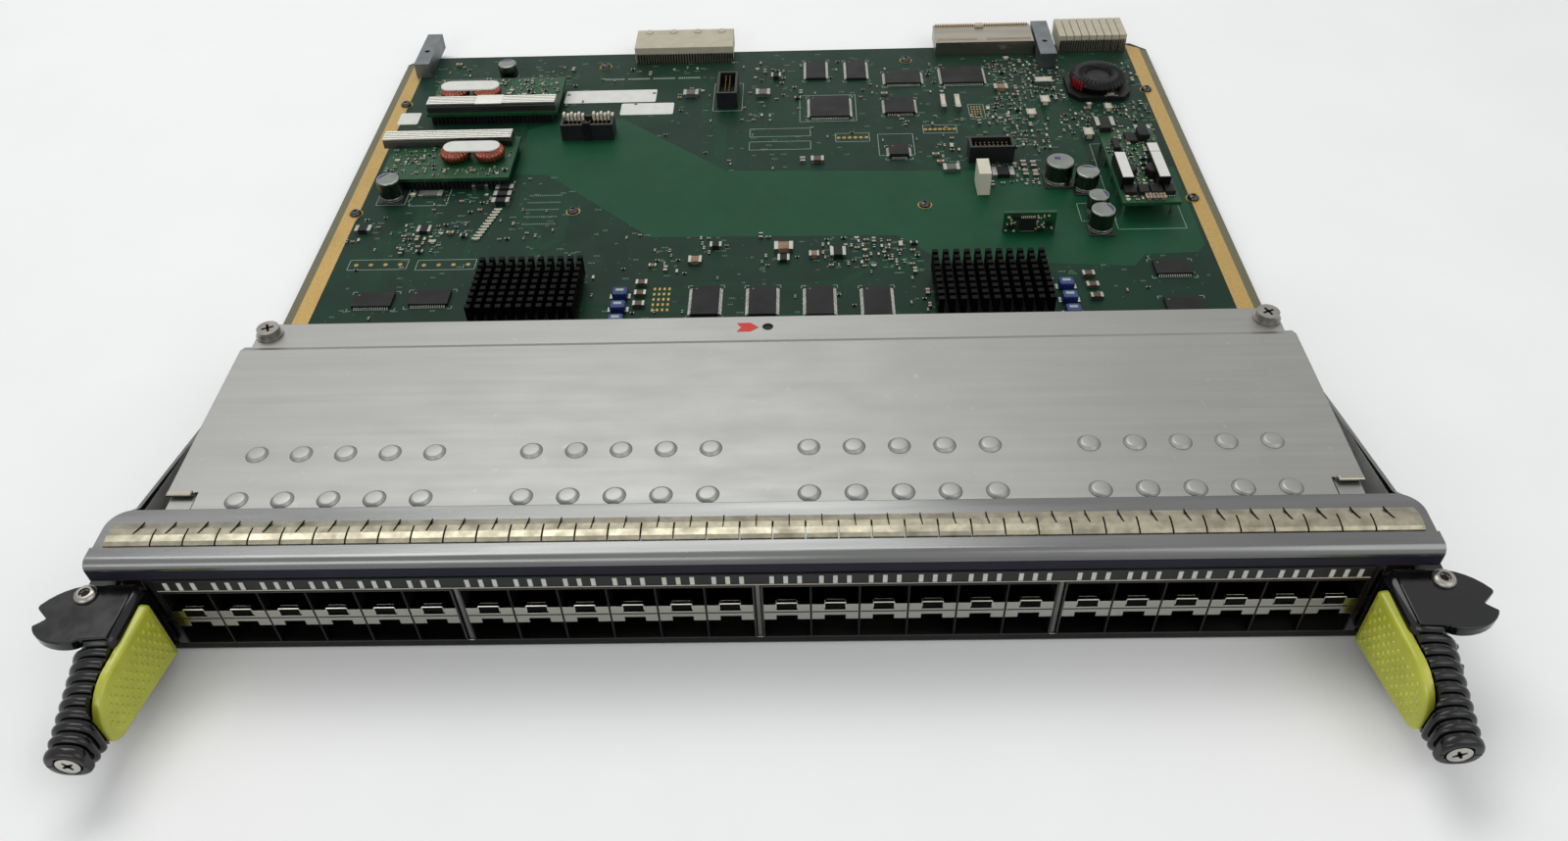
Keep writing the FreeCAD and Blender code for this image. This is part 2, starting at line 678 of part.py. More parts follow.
def cooling_bar(x, y, low, length):
    """A low aluminium bar with fins along its top."""
    base = box(x, y, low, length, 7.6, 3.2)
    fins = [box(x, "%s + %s" % (y, 0.3 + 1.9 * index), low + " + 3.2", length, 1.1, 0.9)
            for index in range(4)]
    return joined([base] + fins)


def converters():
    boards, bars, pins, chokes = [], [], [], []
    top = "board_top + %s" % (MODULE_LIFT + MODULE_SHEET)
    for x, y, length, width, bar_x, bar_y, bar_length, choke_x, choke_y in CONVERTERS:
        low_x, low_y = corner_of(x, y, length, width)
        boards.append(box(low_x, low_y, "board_top + %s" % MODULE_LIFT, length, width, MODULE_SHEET))
        bars.append(cooling_bar("%s + %s" % (low_x, bar_x), "%s + %s" % (low_y, bar_y), top, bar_length))
        pins += pin_rows(low_x, low_y, length, width, 3, MODULE_LIFT)
        chokes += choke_pair("%s + %s" % (low_x, choke_x), "%s + %s" % (low_y, choke_y), top)
    module_x, module_y = corner_of(*POWER_MODULE)
    pins += [box("%s + %s" % (module_x, row), "%s + %s" % (module_y, 4 + 13 * index), "board_top",
                 PIN_SIDE, PIN_SIDE, POWER_MODULE_LIFT)
             for index in range(5) for row in (1.4, POWER_MODULE[2] - 2.5)]
    node("converter_boards", loose(boards))
    node("converter_bars", loose(bars))
    node("converter_pins", loose(pins))
    node("converter_chokes", loose(chokes))


CANS = ((-136.6, 350.4, 4.6, 9.6), (-171.4, 242.6, 5.2, 10.4), (128.6, 246.4, 6.2, 10.6),
        (139.8, 239.4, 5.2, 9.4), (141.4, 221.4, 4.6, 9), (140.6, 208.4, 5.2, 10.4))

HEADERS = ((-101, 289.4, 25, 9.6, 8.2), (-27.8, 317.4, 10, 22, 8.2), (90.6, 262.6, 20.4, 9.6, 8.2))

CHIPS = ((-31, 154, 11, 18, 1.2), (-8, 153.4, 11, 18, 1.2), (15, 152.8, 11, 18, 1.2),
         (38, 152.2, 11, 18, 1.2), (-169, 162.6, 16, 9, 1.2), (-146, 163.4, 16, 9, 1.2),
         (157.4, 175.4, 14.6, 9, 1.2), (156.6, 151, 14.6, 9, 1.2), (16.4, 344, 10, 19, 1.2),
         (37, 343, 10, 19, 1.2), (18, 305.4, 19.4, 19.4, 1.4), (56.4, 336.8, 18, 12.6, 1.4),
         (54.8, 307.8, 14.4, 14.4, 1.4), (85, 336, 21, 17, 1.4), (54.6, 268.4, 9, 9, 2))

BLUE_COLUMNS = ((-63.4, 147.6), (116.4, 149.2))


def header_shroud(x, y, length, width, height):
    """An open box of thin walls that guards a header's pins."""
    low_x, low_y = corner_of(x, y, length, width)
    shell = box(low_x, low_y, "board_top", length, width, height)
    hollow = box(low_x + " + 1.2", low_y + " + 1.2", "board_top + 2", length - 2.4, width - 2.4, height)
    return less(shell, hollow)


def board_parts():
    node("capacitor_cans", loose([prism(across(x), along(y), "board_top", 20, radius, height)
                                  for x, y, radius, height in CANS]))
    node("shrouded_headers", loose([header_shroud(*header) for header in HEADERS]))
    under_sinks = [(x + 6, y + 4, length - 12, width - 8, CHIP_UNDER_SINK)
                   for x, y, length, width, columns, rows in SINKS.values()]
    node("flat_chips", loose(on_board(list(CHIPS) + under_sinks)))
    node("blue_capacitors", loose(on_board([(x, y + 8.6 * step, 6.4, 5, 3.4)
                                            for x, y in BLUE_COLUMNS for step in range(3)])))
    node("upright_header", *on_board([(91.6, 236, 5.4, 12.4, 11)]))


SINKS = {"left": (-117.6, 147, 42, 33, 11, 9), "right": (66.2, 147.4, 45, 32.4, 11, 9)}
SINK_BASE = 2.2
SINK_HEIGHT = 9.4
CHIP_UNDER_SINK = 2.4
GAP_PER_PIN = 0.9


def heat_sinks():
    low = "board_top + %s" % CHIP_UNDER_SINK
    for side, (x, y, length, width, columns, rows) in SINKS.items():
        low_x, low_y = corner_of(x, y, length, width)
        base = box(low_x, low_y, low, length, width, SINK_BASE)
        pin_x = length / (columns + (columns - 1) * GAP_PER_PIN)
        pin_y = width / (rows + (rows - 1) * GAP_PER_PIN)
        pins = [box("%s + %s" % (low_x, column * (1 + GAP_PER_PIN) * pin_x),
                    "%s + %s" % (low_y, row * (1 + GAP_PER_PIN) * pin_y), low, pin_x, pin_y, SINK_HEIGHT)
                for column in range(columns) for row in range(rows)]
        node("heat_sink_" + side, joined([base] + pins))


POWER_MODULE = (150.3, 215, 24.8, 60.6)
POWER_MODULE_LIFT = 7
POWER_CHOKES = ((0.9, 10.4), (16.6, 10.4))
RING_CHOKE = (161, 330.4)


def right_side_parts():
    low_x, low_y = corner_of(*POWER_MODULE)
    node("power_module", box(low_x, low_y, "board_top + %s" % POWER_MODULE_LIFT, POWER_MODULE[2],
                             POWER_MODULE[3], MODULE_SHEET))
    seat = "board_top + %s" % (POWER_MODULE_LIFT + MODULE_SHEET)
    node("power_chokes", loose([box("%s + %s" % (low_x, dx), "%s + %s" % (low_y, dy), seat, 5.2, 21, 5.8)
                                for dx, dy in POWER_CHOKES]))
    node("daughter_board", joined(on_board([(99, 207, 22, 1.6, 10), (101, 208.6, 18, 4, 5)])))
    x, y = across(RING_CHOKE[0]), along(RING_CHOKE[1])
    base = prism(x, y, "board_top", 8, 15.4, 2.4)
    coil = rod(x, y, "board_top", 13.2, 9)
    bore = prism(x, y, "board_top + 3", 12, 5, 8)
    node("ring_inductor", less(joined([base, coil]), bore))


# ---------------------------------------------------------------- levers (built on the right)

def claw_outline(body):
    """The claw plate in plan, relative to the pivot: hooked outside, joined to the block inside."""
    corners = [("0.2", "-pivot_y + block_rear"), ("4.6", "3.2"), ("8.4", "0.4"), ("11.6", "-3.3"),
               ("11.3", "-4.5"), ("8.3", "-8"), ("10.9", "-10.3"), ("6.5", "-14"), ("2.4", "-16"),
               ("block_side - pivot_x", "block_front - pivot_y - 1.2"),
               ("block_inner - pivot_x + 3.4", "block_front - pivot_y - 1.2"),
               ("block_inner - pivot_x + 2.6", "-pivot_y + block_rear")]
    return profile(body, "XY_Plane", corners)


def claw_plate(low):
    body = new_body()
    pad(body, claw_outline(body), "claw_sheet")
    return bind(body, x="pivot_x", y="pivot_y", z=low)


def wedge(front, rear, inner_front, inner_rear, outer, half_front, half_rear):
    """A tapered grip between two upright sections, symmetrical about the lever's middle height."""
    thing = DOC.addObject("Part::Wedge", "Wedge")
    return bind(thing, z="middle_height", Ymin=front, Ymax=rear,
                Xmin=inner_front, X2min=inner_rear, Xmax=outer, X2max=outer,
                Zmin="-(%s)" % half_front, Zmax=half_front,
                Z2min="-(%s)" % half_rear, Z2max=half_rear)


def rounded(base, test, radius):
    """Round the edges of a Part object that pass a test."""
    DOC.recompute()
    names = edges_where(base.Shape, test)
    feature = DOC.addObject("Part::Fillet", "Rounded")
    feature.Base = base
    feature.Edges = [(int(name[4:]), size(radius), size(radius)) for name in names]
    return feature


# Upper halves of the grip's sections, as shares of its half width and half height, from the
# outer side to the inner. The root is flat towards the pad and the tip is nearly round.
ROOT_SECTION = ((1, 0.2), (0.86, 0.6), (0.45, 0.9), (-0.2, 1), (-0.8, 0.98), (-1, 0.84))
TIP_SECTION = ((1, 0.26), (0.8, 0.7), (0.36, 0.96), (-0.36, 0.96), (-0.8, 0.7), (-1, 0.26))


def grip_section(body, shape, middle, half_width, half_height, spot):
    """A closed section of the grip in an upright plane."""
    loop = list(shape) + [(u, -v) for u, v in reversed(shape)]
    sketch = profile(body, "XZ_Plane", [("%s + %s * (%s)" % (middle, half_width, u),
                                         "%s * (%s)" % (half_height, v)) for u, v in loop])
    sketch.setExpression("AttachmentOffset.Base.z", scoped("-(%s)" % spot))
    return sketch


def grip_taper(inset):
    """The grip's tapered form, drawn in by an inset all round."""
    body = new_body()
    root = grip_section(body, ROOT_SECTION, "grip_root_middle", "(grip_root_width / 2 - %s)" % inset,
                        "(grip_root_half - %s)" % inset, "block_front")
    tip = grip_section(body, TIP_SECTION, "grip_tip_middle", "(grip_tip_width / 2 - %s)" % inset,
                       "(grip_tip_half - %s)" % inset, "grip_front + " + inset)
    taper = body.newObject("PartDesign::AdditiveLoft", "Taper")
    taper.Profile = root
    taper.Sections = [tip]
    taper.Ruled = True
    return bind(body, z="middle_height")


def grip():
    """The ribbed grip: a core with an end cap and ribs left standing on its outline."""
    slab = ("block_inner - 10", "lever_low - 1", "2 * block_reach + 10", "lever_tall + 2")
    low_x, low_z, length, height = slab
    slabs = [box(low_x, "grip_front - 1", low_z, length, "cap_thick + 1", height)]
    slabs += [box(low_x, "grip_front + cap_thick + %d * rib_pitch - rib_thick" % index, low_z, length,
                  "rib_thick", height) for index in range(1, int(size("rib_count")) + 1)]
    return [common(grip_taper("0"), loose(slabs)), grip_taper("rib_depth")]


def lever_solid():
    block = wedge("block_front", "block_rear", "block_inner + 1.8", "block_inner", "block_side",
                  "lever_tall / 2", "lever_tall / 2")
    block = rounded(block, lambda box_: box_.YLength > 15 and box_.XMin < size("block_side") - 5,
                    "block_round")
    claws = [claw_plate("lever_low"), claw_plate("lever_high - claw_sheet")]
    solid = joined([block] + claws + grip())
    screw_bore = lying_rod("screw_x", "grip_front - 1", "middle_height", "screw_bore", "60")
    head_bore = lying_rod("screw_x", "grip_front - 1", "middle_height", "head_bore",
                          "head_height + running_gap + 1")
    pivot_bore = rod("pivot_x", "pivot_y", "lever_low - 1", "pivot_radius + pivot_fit",
                     "lever_tall + 2")
    return less(solid, loose([screw_bore, head_bore, pivot_bore]))


def pad_plate(margin, through=False):
    """A D-shaped plate on the sloping inner side of the lever, grown by a margin all round.

    With through it also runs far out of the inner side, to cut the plate's recess.
    """
    body = new_body()
    low = "pad_low - middle_height - %s" % margin
    high = "pad_high - middle_height + %s" % margin
    front = "pad_front - %s" % margin
    rear = "pad_rear + %s" % margin
    outline = profile(body, "YZ_Plane", [(rear, low), (rear, high), (front, high + " - pad_high_fall"),
                                         (front, low + " + pad_low_rise")])
    plate = pad(body, outline, "pad_sheet")
    if through:
        plate = pad(body, outline, "4 * pad_sheet", backwards=True)
    nose = number(front)
    upper = lambda box_: box_.XLength > 1 and close(box_.YMin, nose) and box_.ZMin > 0
    plate = fillet(body, plate, upper, "pad_round + " + margin)
    lower = lambda box_: box_.XLength > 1 and close(box_.YMin, nose) and box_.ZMax < 0
    plate = fillet(body, plate, lower, "pad_toe + " + margin)
    body.Placement = FreeCAD.Placement(VECTOR(), FreeCAD.Rotation(VECTOR(0, 0, 1), 10))
    bind(body, x="pad_seat", z="middle_height")
    body.setExpression("Placement.Rotation.Angle", scoped("pad_lean"))
    return body, plate


def grip_pad():
    """The pad, bevelled round its exposed face."""
    body, plate = pad_plate("0")
    DOC.recompute()
    bevel = body.newObject("PartDesign::Chamfer", "Bevel")
    bevel.Base = (plate, edges_where(plate.Shape, lambda box_: close(box_.XMax, 0)))
    bind(bevel, Size="pad_bevel")
    return body


def lever():
    recess = pad_plate("seat_gap / 2", through=True)[0]
    solid = less(lever_solid(), recess)
    upper_space = box("block_inner - 20", "-60", "middle_height + split_gap / 2", "60", "70", "40")
    lower_space = box("block_inner - 20", "-60", "middle_height - split_gap / 2 - 40",
                      "60", "70", "40")
    return {"lever_upper": common(solid, upper_space), "lever_lower": common(solid, lower_space)}


def lever_hardware():
    ears = []
    for low in ("ear_high_low", "ear_low_low"):
        tip = rod("pivot_x", "pivot_y", low, "ear_radius", "ear_sheet")
        neck = box("pivot_x - ear_radius", "pivot_y", low, "2 * ear_radius",
                   "gusset_front - 0.6 - pivot_y", "ear_sheet")
        tail = box("pivot_x - ear_radius", "gusset_front - 1", low,
                   "face_half - gusset_sheet - pivot_x + ear_radius", "web_rear - gusset_front",
                   "ear_sheet")
        ears += [tip, neck, tail]
    web = box("face_half - gusset_sheet - web_sheet", "gusset_front", "ear_low_low",
              "web_sheet", "web_rear - gusset_front - 1", "ear_high_low + ear_sheet - ear_low_low")
    holes = rod("pivot_x", "pivot_y", "lever_low", "pivot_radius + pivot_fit", "lever_tall")
    bracket = less(joined(ears + [web]), holes)
    post_low = "ear_low_low + ear_sheet"
    post_height = "ear_high_low - ear_low_low - ear_sheet"
    post = rod("pivot_x", "pivot_y", post_low, "post_radius", post_height)
    shank_height = "claw_sheet + 2 * running_gap + ear_sheet"
    top_screw = joined([rod("pivot_x", "pivot_y", "ear_high_low", "pivot_radius", shank_height),
                        rod("pivot_x", "pivot_y", "lever_high + running_gap", "pivot_head_radius",
                            "pivot_head_height")])
    low_screw = joined([rod("pivot_x", "pivot_y", "lever_low - running_gap", "pivot_radius",
                            shank_height),
                        rod("pivot_x", "pivot_y", "lever_low - running_gap - pivot_head_height",
                            "pivot_head_radius", "pivot_head_height")])
    captive = joined([lying_rod("screw_x", "grip_front", "middle_height", "head_radius",
                                "head_height"),
                      lying_rod("screw_x", "grip_front + 1", "middle_height", "screw_shaft",
                                "screw_tip - grip_front - 1")])
    return bracket, post, top_screw, low_screw, captive


def levers():
    halves = lever()
    pad_body = grip_pad()
    bracket, post, top_screw, low_screw, captive = lever_hardware()
    for side, copy in (("right", lambda thing: thing), ("left", mirrored)):
        for name, half in halves.items():
            node("%s_%s" % (name, side), copy(half))
        node("grip_pad_" + side, copy(pad_body))
        node("captive_screw_" + side, copy(captive))
        node("pivot_bracket_" + side, copy(bracket))
    node("pivot_posts", loose(both_sides(post)))
    node("pivot_screws", loose(both_sides(top_screw) + both_sides(low_screw)))


# ---------------------------------------------------------------- build, check and write

def build():
    faceplate()
    gasket()
    ports()
    light_pipes()
    main_board()
    bottom_pan()
    board_screws()
    cover()
    cover_fixings()
    rear_connectors()
    converters()
    board_parts()
    heat_sinks()
    right_side_parts()
    levers()
    DOC.recompute()


def check():
    for thing in DOC.Objects:
        if "Invalid" in thing.State or "Error" in thing.State:
            raise RuntimeError("failed object: %s (%s)" % (thing.Name, thing.Label))
    for thing in NODES:
        if thing.Shape.isNull() or not thing.Shape.isValid():
            raise RuntimeError("bad shape: " + thing.Label)


def write():
    os.makedirs("parts", exist_ok=True)
    for thing in NODES:
        thing.Shape.exportStep("parts/%s.step" % thing.Label)
    print("wrote", len(NODES), "nodes")


build()
check()
write()
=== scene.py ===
import math
import random

import bpy
from mathutils import Matrix, Vector

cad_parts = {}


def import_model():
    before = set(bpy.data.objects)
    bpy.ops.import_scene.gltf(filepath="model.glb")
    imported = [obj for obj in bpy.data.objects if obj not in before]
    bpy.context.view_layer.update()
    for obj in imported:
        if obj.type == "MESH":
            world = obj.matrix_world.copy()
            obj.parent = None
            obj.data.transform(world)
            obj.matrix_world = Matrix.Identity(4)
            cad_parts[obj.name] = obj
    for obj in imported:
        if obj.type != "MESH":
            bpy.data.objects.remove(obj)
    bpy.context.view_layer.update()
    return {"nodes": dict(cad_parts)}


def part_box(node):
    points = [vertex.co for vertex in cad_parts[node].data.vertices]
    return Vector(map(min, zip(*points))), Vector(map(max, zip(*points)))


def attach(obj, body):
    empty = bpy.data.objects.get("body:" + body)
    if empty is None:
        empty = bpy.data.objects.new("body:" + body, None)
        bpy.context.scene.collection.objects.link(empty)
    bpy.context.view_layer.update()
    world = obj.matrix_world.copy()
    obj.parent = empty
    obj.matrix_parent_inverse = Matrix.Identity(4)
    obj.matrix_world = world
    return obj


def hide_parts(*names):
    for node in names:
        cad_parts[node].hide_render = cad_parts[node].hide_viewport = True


# Looks of the switch line card: finishes for the CAD pieces, and the small parts too fine for CAD.
# Lengths are in millimetres and become metres as a piece is made; lamps and camera are in metres.

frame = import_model()
NODES = frame["nodes"]
MM = 0.001
DICE = random.Random(7)
SIDES = (("left", -1), ("right", 1))


def low(node):
    """The lowest corner of a CAD node."""
    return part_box(node)[0] / MM


def high(node):
    """The highest corner of a CAD node."""
    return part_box(node)[1] / MM


def box(node):
    """The low and high corner and the centre of a CAD node."""
    return low(node), high(node), (low(node) + high(node)) / 2


BOARD_TOP = high("main_board").z
BOARD_HALF = high("main_board").x
BOARD_REAR = high("main_board").y


# ---------------------------------------------------------------- finishes

def tone(red, green, blue):
    """A colour given as display values from 0 to 255."""
    def linear(value):
        value /= 255
        return value / 12.92 if value <= 0.04045 else ((value + 0.055) / 1.055) ** 2.4
    return (linear(red), linear(green), linear(blue), 1)


class Finish:
    """A node material with uneven colour, gloss and surface."""

    def __init__(self, name, colour, rough, metal=0.0):
        self.material = bpy.data.materials.new(name)
        self.material.use_nodes = True
        self.nodes = self.material.node_tree.nodes
        self.links = self.material.node_tree.links
        self.shader = self.nodes["Principled BSDF"]
        self.shader.inputs["Metallic"].default_value = metal
        self.place = self.nodes.new("ShaderNodeTexCoord").outputs["Object"]
        self.colour = tone(*colour)
        self.rough = rough
        self.bumps = None

    def add(self, kind, **values):
        node = self.nodes.new(kind)
        for key, value in values.items():
            node.inputs[key].default_value = value
        return node

    def noise(self, size, stretch=(1, 1, 1), detail=4.0):
        """Noise whose patches are about size across."""
        mapping = self.add("ShaderNodeMapping", Scale=stretch)
        self.links.new(self.place, mapping.inputs["Vector"])
        noise = self.add("ShaderNodeTexNoise", Scale=1 / (size * MM), Detail=detail)
        self.links.new(mapping.outputs["Vector"], noise.inputs["Vector"])
        return noise.outputs["Fac"]

    def ramp(self, source, first, last, begin=0.35, end=0.65):
        ramp = self.nodes.new("ShaderNodeValToRGB")
        for stop, place, colour in zip(ramp.color_ramp.elements, (begin, end), (first, last)):
            stop.position = place
            stop.color = colour
        self.links.new(source, ramp.inputs["Fac"])
        return ramp.outputs["Color"]

    def spread(self, source, lowest, highest):
        """Stretch the middle of a noise over a range of values."""
        limits = {"From Min": 0.3, "From Max": 0.7, "To Min": lowest, "To Max": highest}
        spread = self.add("ShaderNodeMapRange", **limits)
        self.links.new(source, spread.inputs["Value"])
        return spread.outputs["Result"]

    def tint(self, size=8.0, amount=0.12, stretch=(1, 1, 1)):
        """Let the base colour drift by a share of itself."""
        dark = tuple(part * (1 - amount) for part in self.colour[:3]) + (1,)
        light = tuple(min(1, part * (1 + amount)) for part in self.colour[:3]) + (1,)
        drift = self.ramp(self.noise(size, stretch), dark, light)
        self.links.new(drift, self.shader.inputs["Base Color"])
        return self

    def blotch(self, size, colour, begin=0.55, end=0.75, stretch=(1, 1, 1)):
        """Lay patches of another colour over what the base colour is so far."""
        mask = self.ramp(self.noise(size, stretch), (0, 0, 0, 1), (1, 1, 1, 1), begin, end)
        mix = self.nodes.new("ShaderNodeMix")
        mix.data_type = "RGBA"
        source = self.shader.inputs["Base Color"].links[0].from_socket
        self.links.new(mask, mix.inputs["Factor"])
        self.links.new(source, mix.inputs[6])
        mix.inputs[7].default_value = tone(*colour)
        self.links.new(mix.outputs[2], self.shader.inputs["Base Color"])
        return self

    def gloss(self, size=12.0, spread=0.1, stretch=(1, 1, 1)):
        """Let the roughness drift round its value."""
        source = self.noise(size, stretch, 3.0)
        value = self.spread(source, max(0.02, self.rough - spread), min(1, self.rough + spread))
        self.links.new(value, self.shader.inputs["Roughness"])
        return self

    def bump(self, size=0.6, depth=0.05, stretch=(1, 1, 1)):
        """Add fine relief of a given depth over any there is."""
        bump = self.add("ShaderNodeBump", Strength=0.5, Distance=depth * MM)
        self.links.new(self.noise(size, stretch, 5.0), bump.inputs["Height"])
        if self.bumps:
            self.links.new(self.bumps, bump.inputs["Normal"])
        self.bumps = bump.outputs["Normal"]
        self.links.new(self.bumps, self.shader.inputs["Normal"])
        return self

    def soft_edges(self, radius):
        """Round sharp edges in the shading."""
        bevel = self.add("ShaderNodeBevel", Radius=radius * MM)
        bevel.samples = 6
        self.bumps = bevel.outputs["Normal"]
        self.links.new(self.bumps, self.shader.inputs["Normal"])
        return self

    def coat(self, weight, rough=0.15):
        self.shader.inputs["Coat Weight"].default_value = weight
        self.shader.inputs["Coat Roughness"].default_value = rough
        return self

    def shine(self, level):
        """How strongly a plastic mirrors its surroundings."""
        self.shader.inputs["Specular IOR Level"].default_value = level
        return self

    def done(self):
        return self.material


def plastic(name, colour, rough=0.45, amount=0.15, edges=0.25, depth=0.03, shine=0.3):
    return (Finish(name, colour, rough).soft_edges(edges).tint(5, amount).gloss(9, 0.1)
            .bump(0.35, depth).shine(shine).done())


def metal(name, colour, rough=0.3, grain=(1, 1, 1), amount=0.1, edges=0.2, depth=0.02):
    return (Finish(name, colour, rough, 1.0).soft_edges(edges).tint(6, amount, grain)
            .gloss(7, 0.09, grain).bump(0.5, depth, grain).done())


def board_finish():
    """Solder mask over faint copper runs."""
    finish = Finish("solder_mask", (14, 42, 30), 0.42).soft_edges(0.2).tint(14, 0.16)
    finish.blotch(40, (18, 50, 36), 0.45, 0.7)
    return finish.gloss(10, 0.08).bump(0.7, 0.03).bump(3, 0.02, (0.15, 1, 1)).shine(0.1).done()


def pour_finish():
    finish = Finish("copper_pour_mask", (18, 66, 41), 0.42).tint(16, 0.08)
    return finish.gloss(12, 0.08).bump(0.9, 0.02).shine(0.1).done()


def edge_finish(name, colour, metallic):
    finish = Finish(name, colour, 0.42, metallic).tint(1.2, 0.1).blotch(22, colour, 0.5, 0.8)
    return finish.gloss(14, 0.1).bump(0.45, 0.04, (1, 0.5, 1)).done()


def cover_finish():
    """Rolled sheet with faint lengthwise streaks and pale rubbed patches."""
    finish = Finish("rolled_cover", (138, 138, 135), 0.46, 1.0).soft_edges(0.3)
    finish.tint(3.5, 0.05, (0.04, 1, 1)).blotch(70, (133, 134, 131), 0.4, 0.75, (0.6, 1, 1))
    finish.blotch(5, (156, 156, 152), 0.68, 0.82).gloss(9, 0.05, (0.4, 1, 1))
    return finish.bump(0.5, 0.03, (0.05, 1, 1)).bump(4, 0.015).done()


def finger_finish():
    """Soft warm plating with darker patches at the scale of one finger."""
    finish = Finish("finger_strip", (150, 145, 127), 0.36, 1.0).soft_edges(0.15).tint(1.4, 0.08)
    return finish.blotch(6, (116, 111, 97), 0.42, 0.72).gloss(4, 0.12).bump(0.4, 0.03).done()


def lever_finish():
    finish = Finish("lever_nylon", (9, 10, 11), 0.15).tint(6, 0.25)
    finish.blotch(9, (18, 19, 21), 0.6, 0.85)
    return finish.gloss(5, 0.07).bump(0.4, 0.012).shine(0.34).done()


def pad_finish():
    finish = Finish("yellow_pad", (180, 182, 56), 0.22).tint(9, 0.08)
    finish.blotch(14, (160, 165, 58), 0.5, 0.8)
    return finish.gloss(7, 0.07).bump(0.8, 0.02).shine(0.5).done()


def copper_finish():
    finish = Finish("enamelled_copper", (134, 64, 38), 0.34, 0.8).tint(2, 0.25)
    return finish.blotch(5, (96, 44, 28), 0.5, 0.75).gloss(3, 0.1).bump(0.3, 0.05).coat(0.5, 0.1).done()


def overlay_finish():
    finish = Finish("violet_overlay", (33, 29, 42), 0.55).tint(20, 0.12)
    finish.blotch(30, (26, 24, 36), 0.5, 0.8, (0.3, 1, 1))
    return finish.gloss(16, 0.08).bump(0.5, 0.01).shine(0.12).done()


ALONG_X = (0.08, 1, 1)

M = {
    "face": metal("face_steel", (108, 109, 108), 0.25, ALONG_X, 0.1, 0.3),
    "cage": metal("cage_steel", (62, 62, 60), 0.4, ALONG_X, 0.2, 0.1),
    "cage_edge": metal("cage_edge", (34, 34, 33), 0.42, ALONG_X, 0.2, 0.1),
    # Painted light: a pale matte finish for the sheets that lighten the gussets' shaded inner faces.
    "lit_lining": plastic("painted_light_lining", (182, 184, 180), 0.55, 0.1, 0.1),
    "button": metal("button_head", (136, 134, 127), 0.3, edges=0.1),
    "mirror": metal("mirror_sheet", (170, 169, 162), 0.12, ALONG_X, 0.06, 0.12, 0.004),
    # Painted highlight: a brighter copy of the divider metal for the latch edges.
    "latch_highlight": metal("latch_highlight_metal", (196, 194, 184), 0.22, edges=0.05),
    "black": plastic("black_moulding", (14, 15, 16), 0.5, shine=0.2),
    "pipe": plastic("light_pipe", (186, 188, 180), 0.4, 0.08, 0.1),
    "screw": metal("bright_screw", (184, 182, 174), 0.24, edges=0.15),
    "pan": metal("zinc_pan", (146, 148, 147), 0.4, ALONG_X, 0.12, 0.3),
    "jet": plastic("black_oxide", (12, 12, 13), 0.2, edges=0.1, shine=0.6),
    "dark": plastic("dark_moulding", (22, 23, 25), 0.42),
    "cream": plastic("cream_moulding", (178, 172, 150), 0.5, 0.06),
    "guide": metal("guide_zinc", (104, 109, 111), 0.45, amount=0.12, edges=0.4),
    "shield": metal("shield_steel", (146, 141, 130), 0.32, ALONG_X, 0.1, 0.2),
    "bar": metal("bar_aluminium", (84, 85, 82), 0.4, ALONG_X, 0.08, 0.15),
    "fin": metal("bar_fin", (216, 215, 206), 0.3, ALONG_X, 0.06, 0.1),
    "chip": plastic("chip_epoxy", (25, 25, 25), 0.5, 0.12, 0.15, 0.02, shine=0.14),
    "sink": plastic("anodised_black", (6, 6, 7), 0.5, 0.2, 0.15, shine=0.06),
    "can": metal("can_top", (122, 126, 121), 0.3, edges=0.1),
    # Painted shade: a darker copy of the can metal for the upright sides of the cans.
    "can_side_shaded": metal("can_side_shaded", (78, 84, 78), 0.24, (1, 1, 0.2), 0.15),
    "bracket": plastic("black_coat", (18, 19, 21), 0.36),
    "tin": metal("tinned_lead", (156, 157, 150), 0.34, edges=0.05),
    "lead": metal("bright_lead", (188, 188, 180), 0.36, edges=0.05),
    "tan": plastic("ceramic_tan", (128, 102, 76), 0.42, 0.25, 0.08),
    "brown": plastic("ceramic_brown", (78, 57, 45), 0.42, 0.2, 0.08),
    "grey": plastic("component_grey", (80, 80, 78), 0.45, 0.15, 0.08),
    "ivory": plastic("ceramic_ivory", (190, 182, 158), 0.4, 0.12, 0.15),
    "gold": metal("gold_pad", (150, 126, 72), 0.36, edges=0.05),
    "ink": plastic("silk_ink", (158, 174, 162), 0.6, 0.08, 0.02),
    "faint_ink": plastic("faint_ink", (84, 114, 94), 0.6, 0.1, 0.02),
    "paper": plastic("blank_sticker", (214, 214, 208), 0.55, 0.04, 0.05, 0.01),
    "module": plastic("module_mask", (24, 68, 40), 0.4, 0.2, 0.1, shine=0.2),
    "red": plastic("red_sticker", (196, 44, 38), 0.45, 0.08, 0.05),
    "winding": plastic("dark_winding", (10, 10, 11), 0.35, shine=0.14),
    "red_wire": plastic("red_wire", (140, 20, 22), 0.3, 0.1, 0.1),
    "white": plastic("white_moulding", (204, 200, 182), 0.45, 0.05, 0.3),
    "blue": plastic("blue_dipped", (28, 48, 104), 0.28, 0.15, 0.2, shine=0.4),
    # Painted shade: the dark inside recesses, slits and gaps; also the dark seam lines on the levers.
    "hole": plastic("dark_recess", (5, 5, 6), 0.7, shine=0.05),
    "violet": plastic("violet_mark", (62, 42, 104), 0.4),
    "board": board_finish(),
    "pour": pour_finish(),
    "gold_edge": edge_finish("gold_edge", (172, 142, 80), 0.55),
    "bare_edge": edge_finish("bare_laminate", (86, 82, 53), 0.0),
    "cover": cover_finish(),
    "finger": finger_finish(),
    "lever": lever_finish(),
    "pad": pad_finish(),
    "copper": copper_finish(),
    "overlay": overlay_finish(),
}

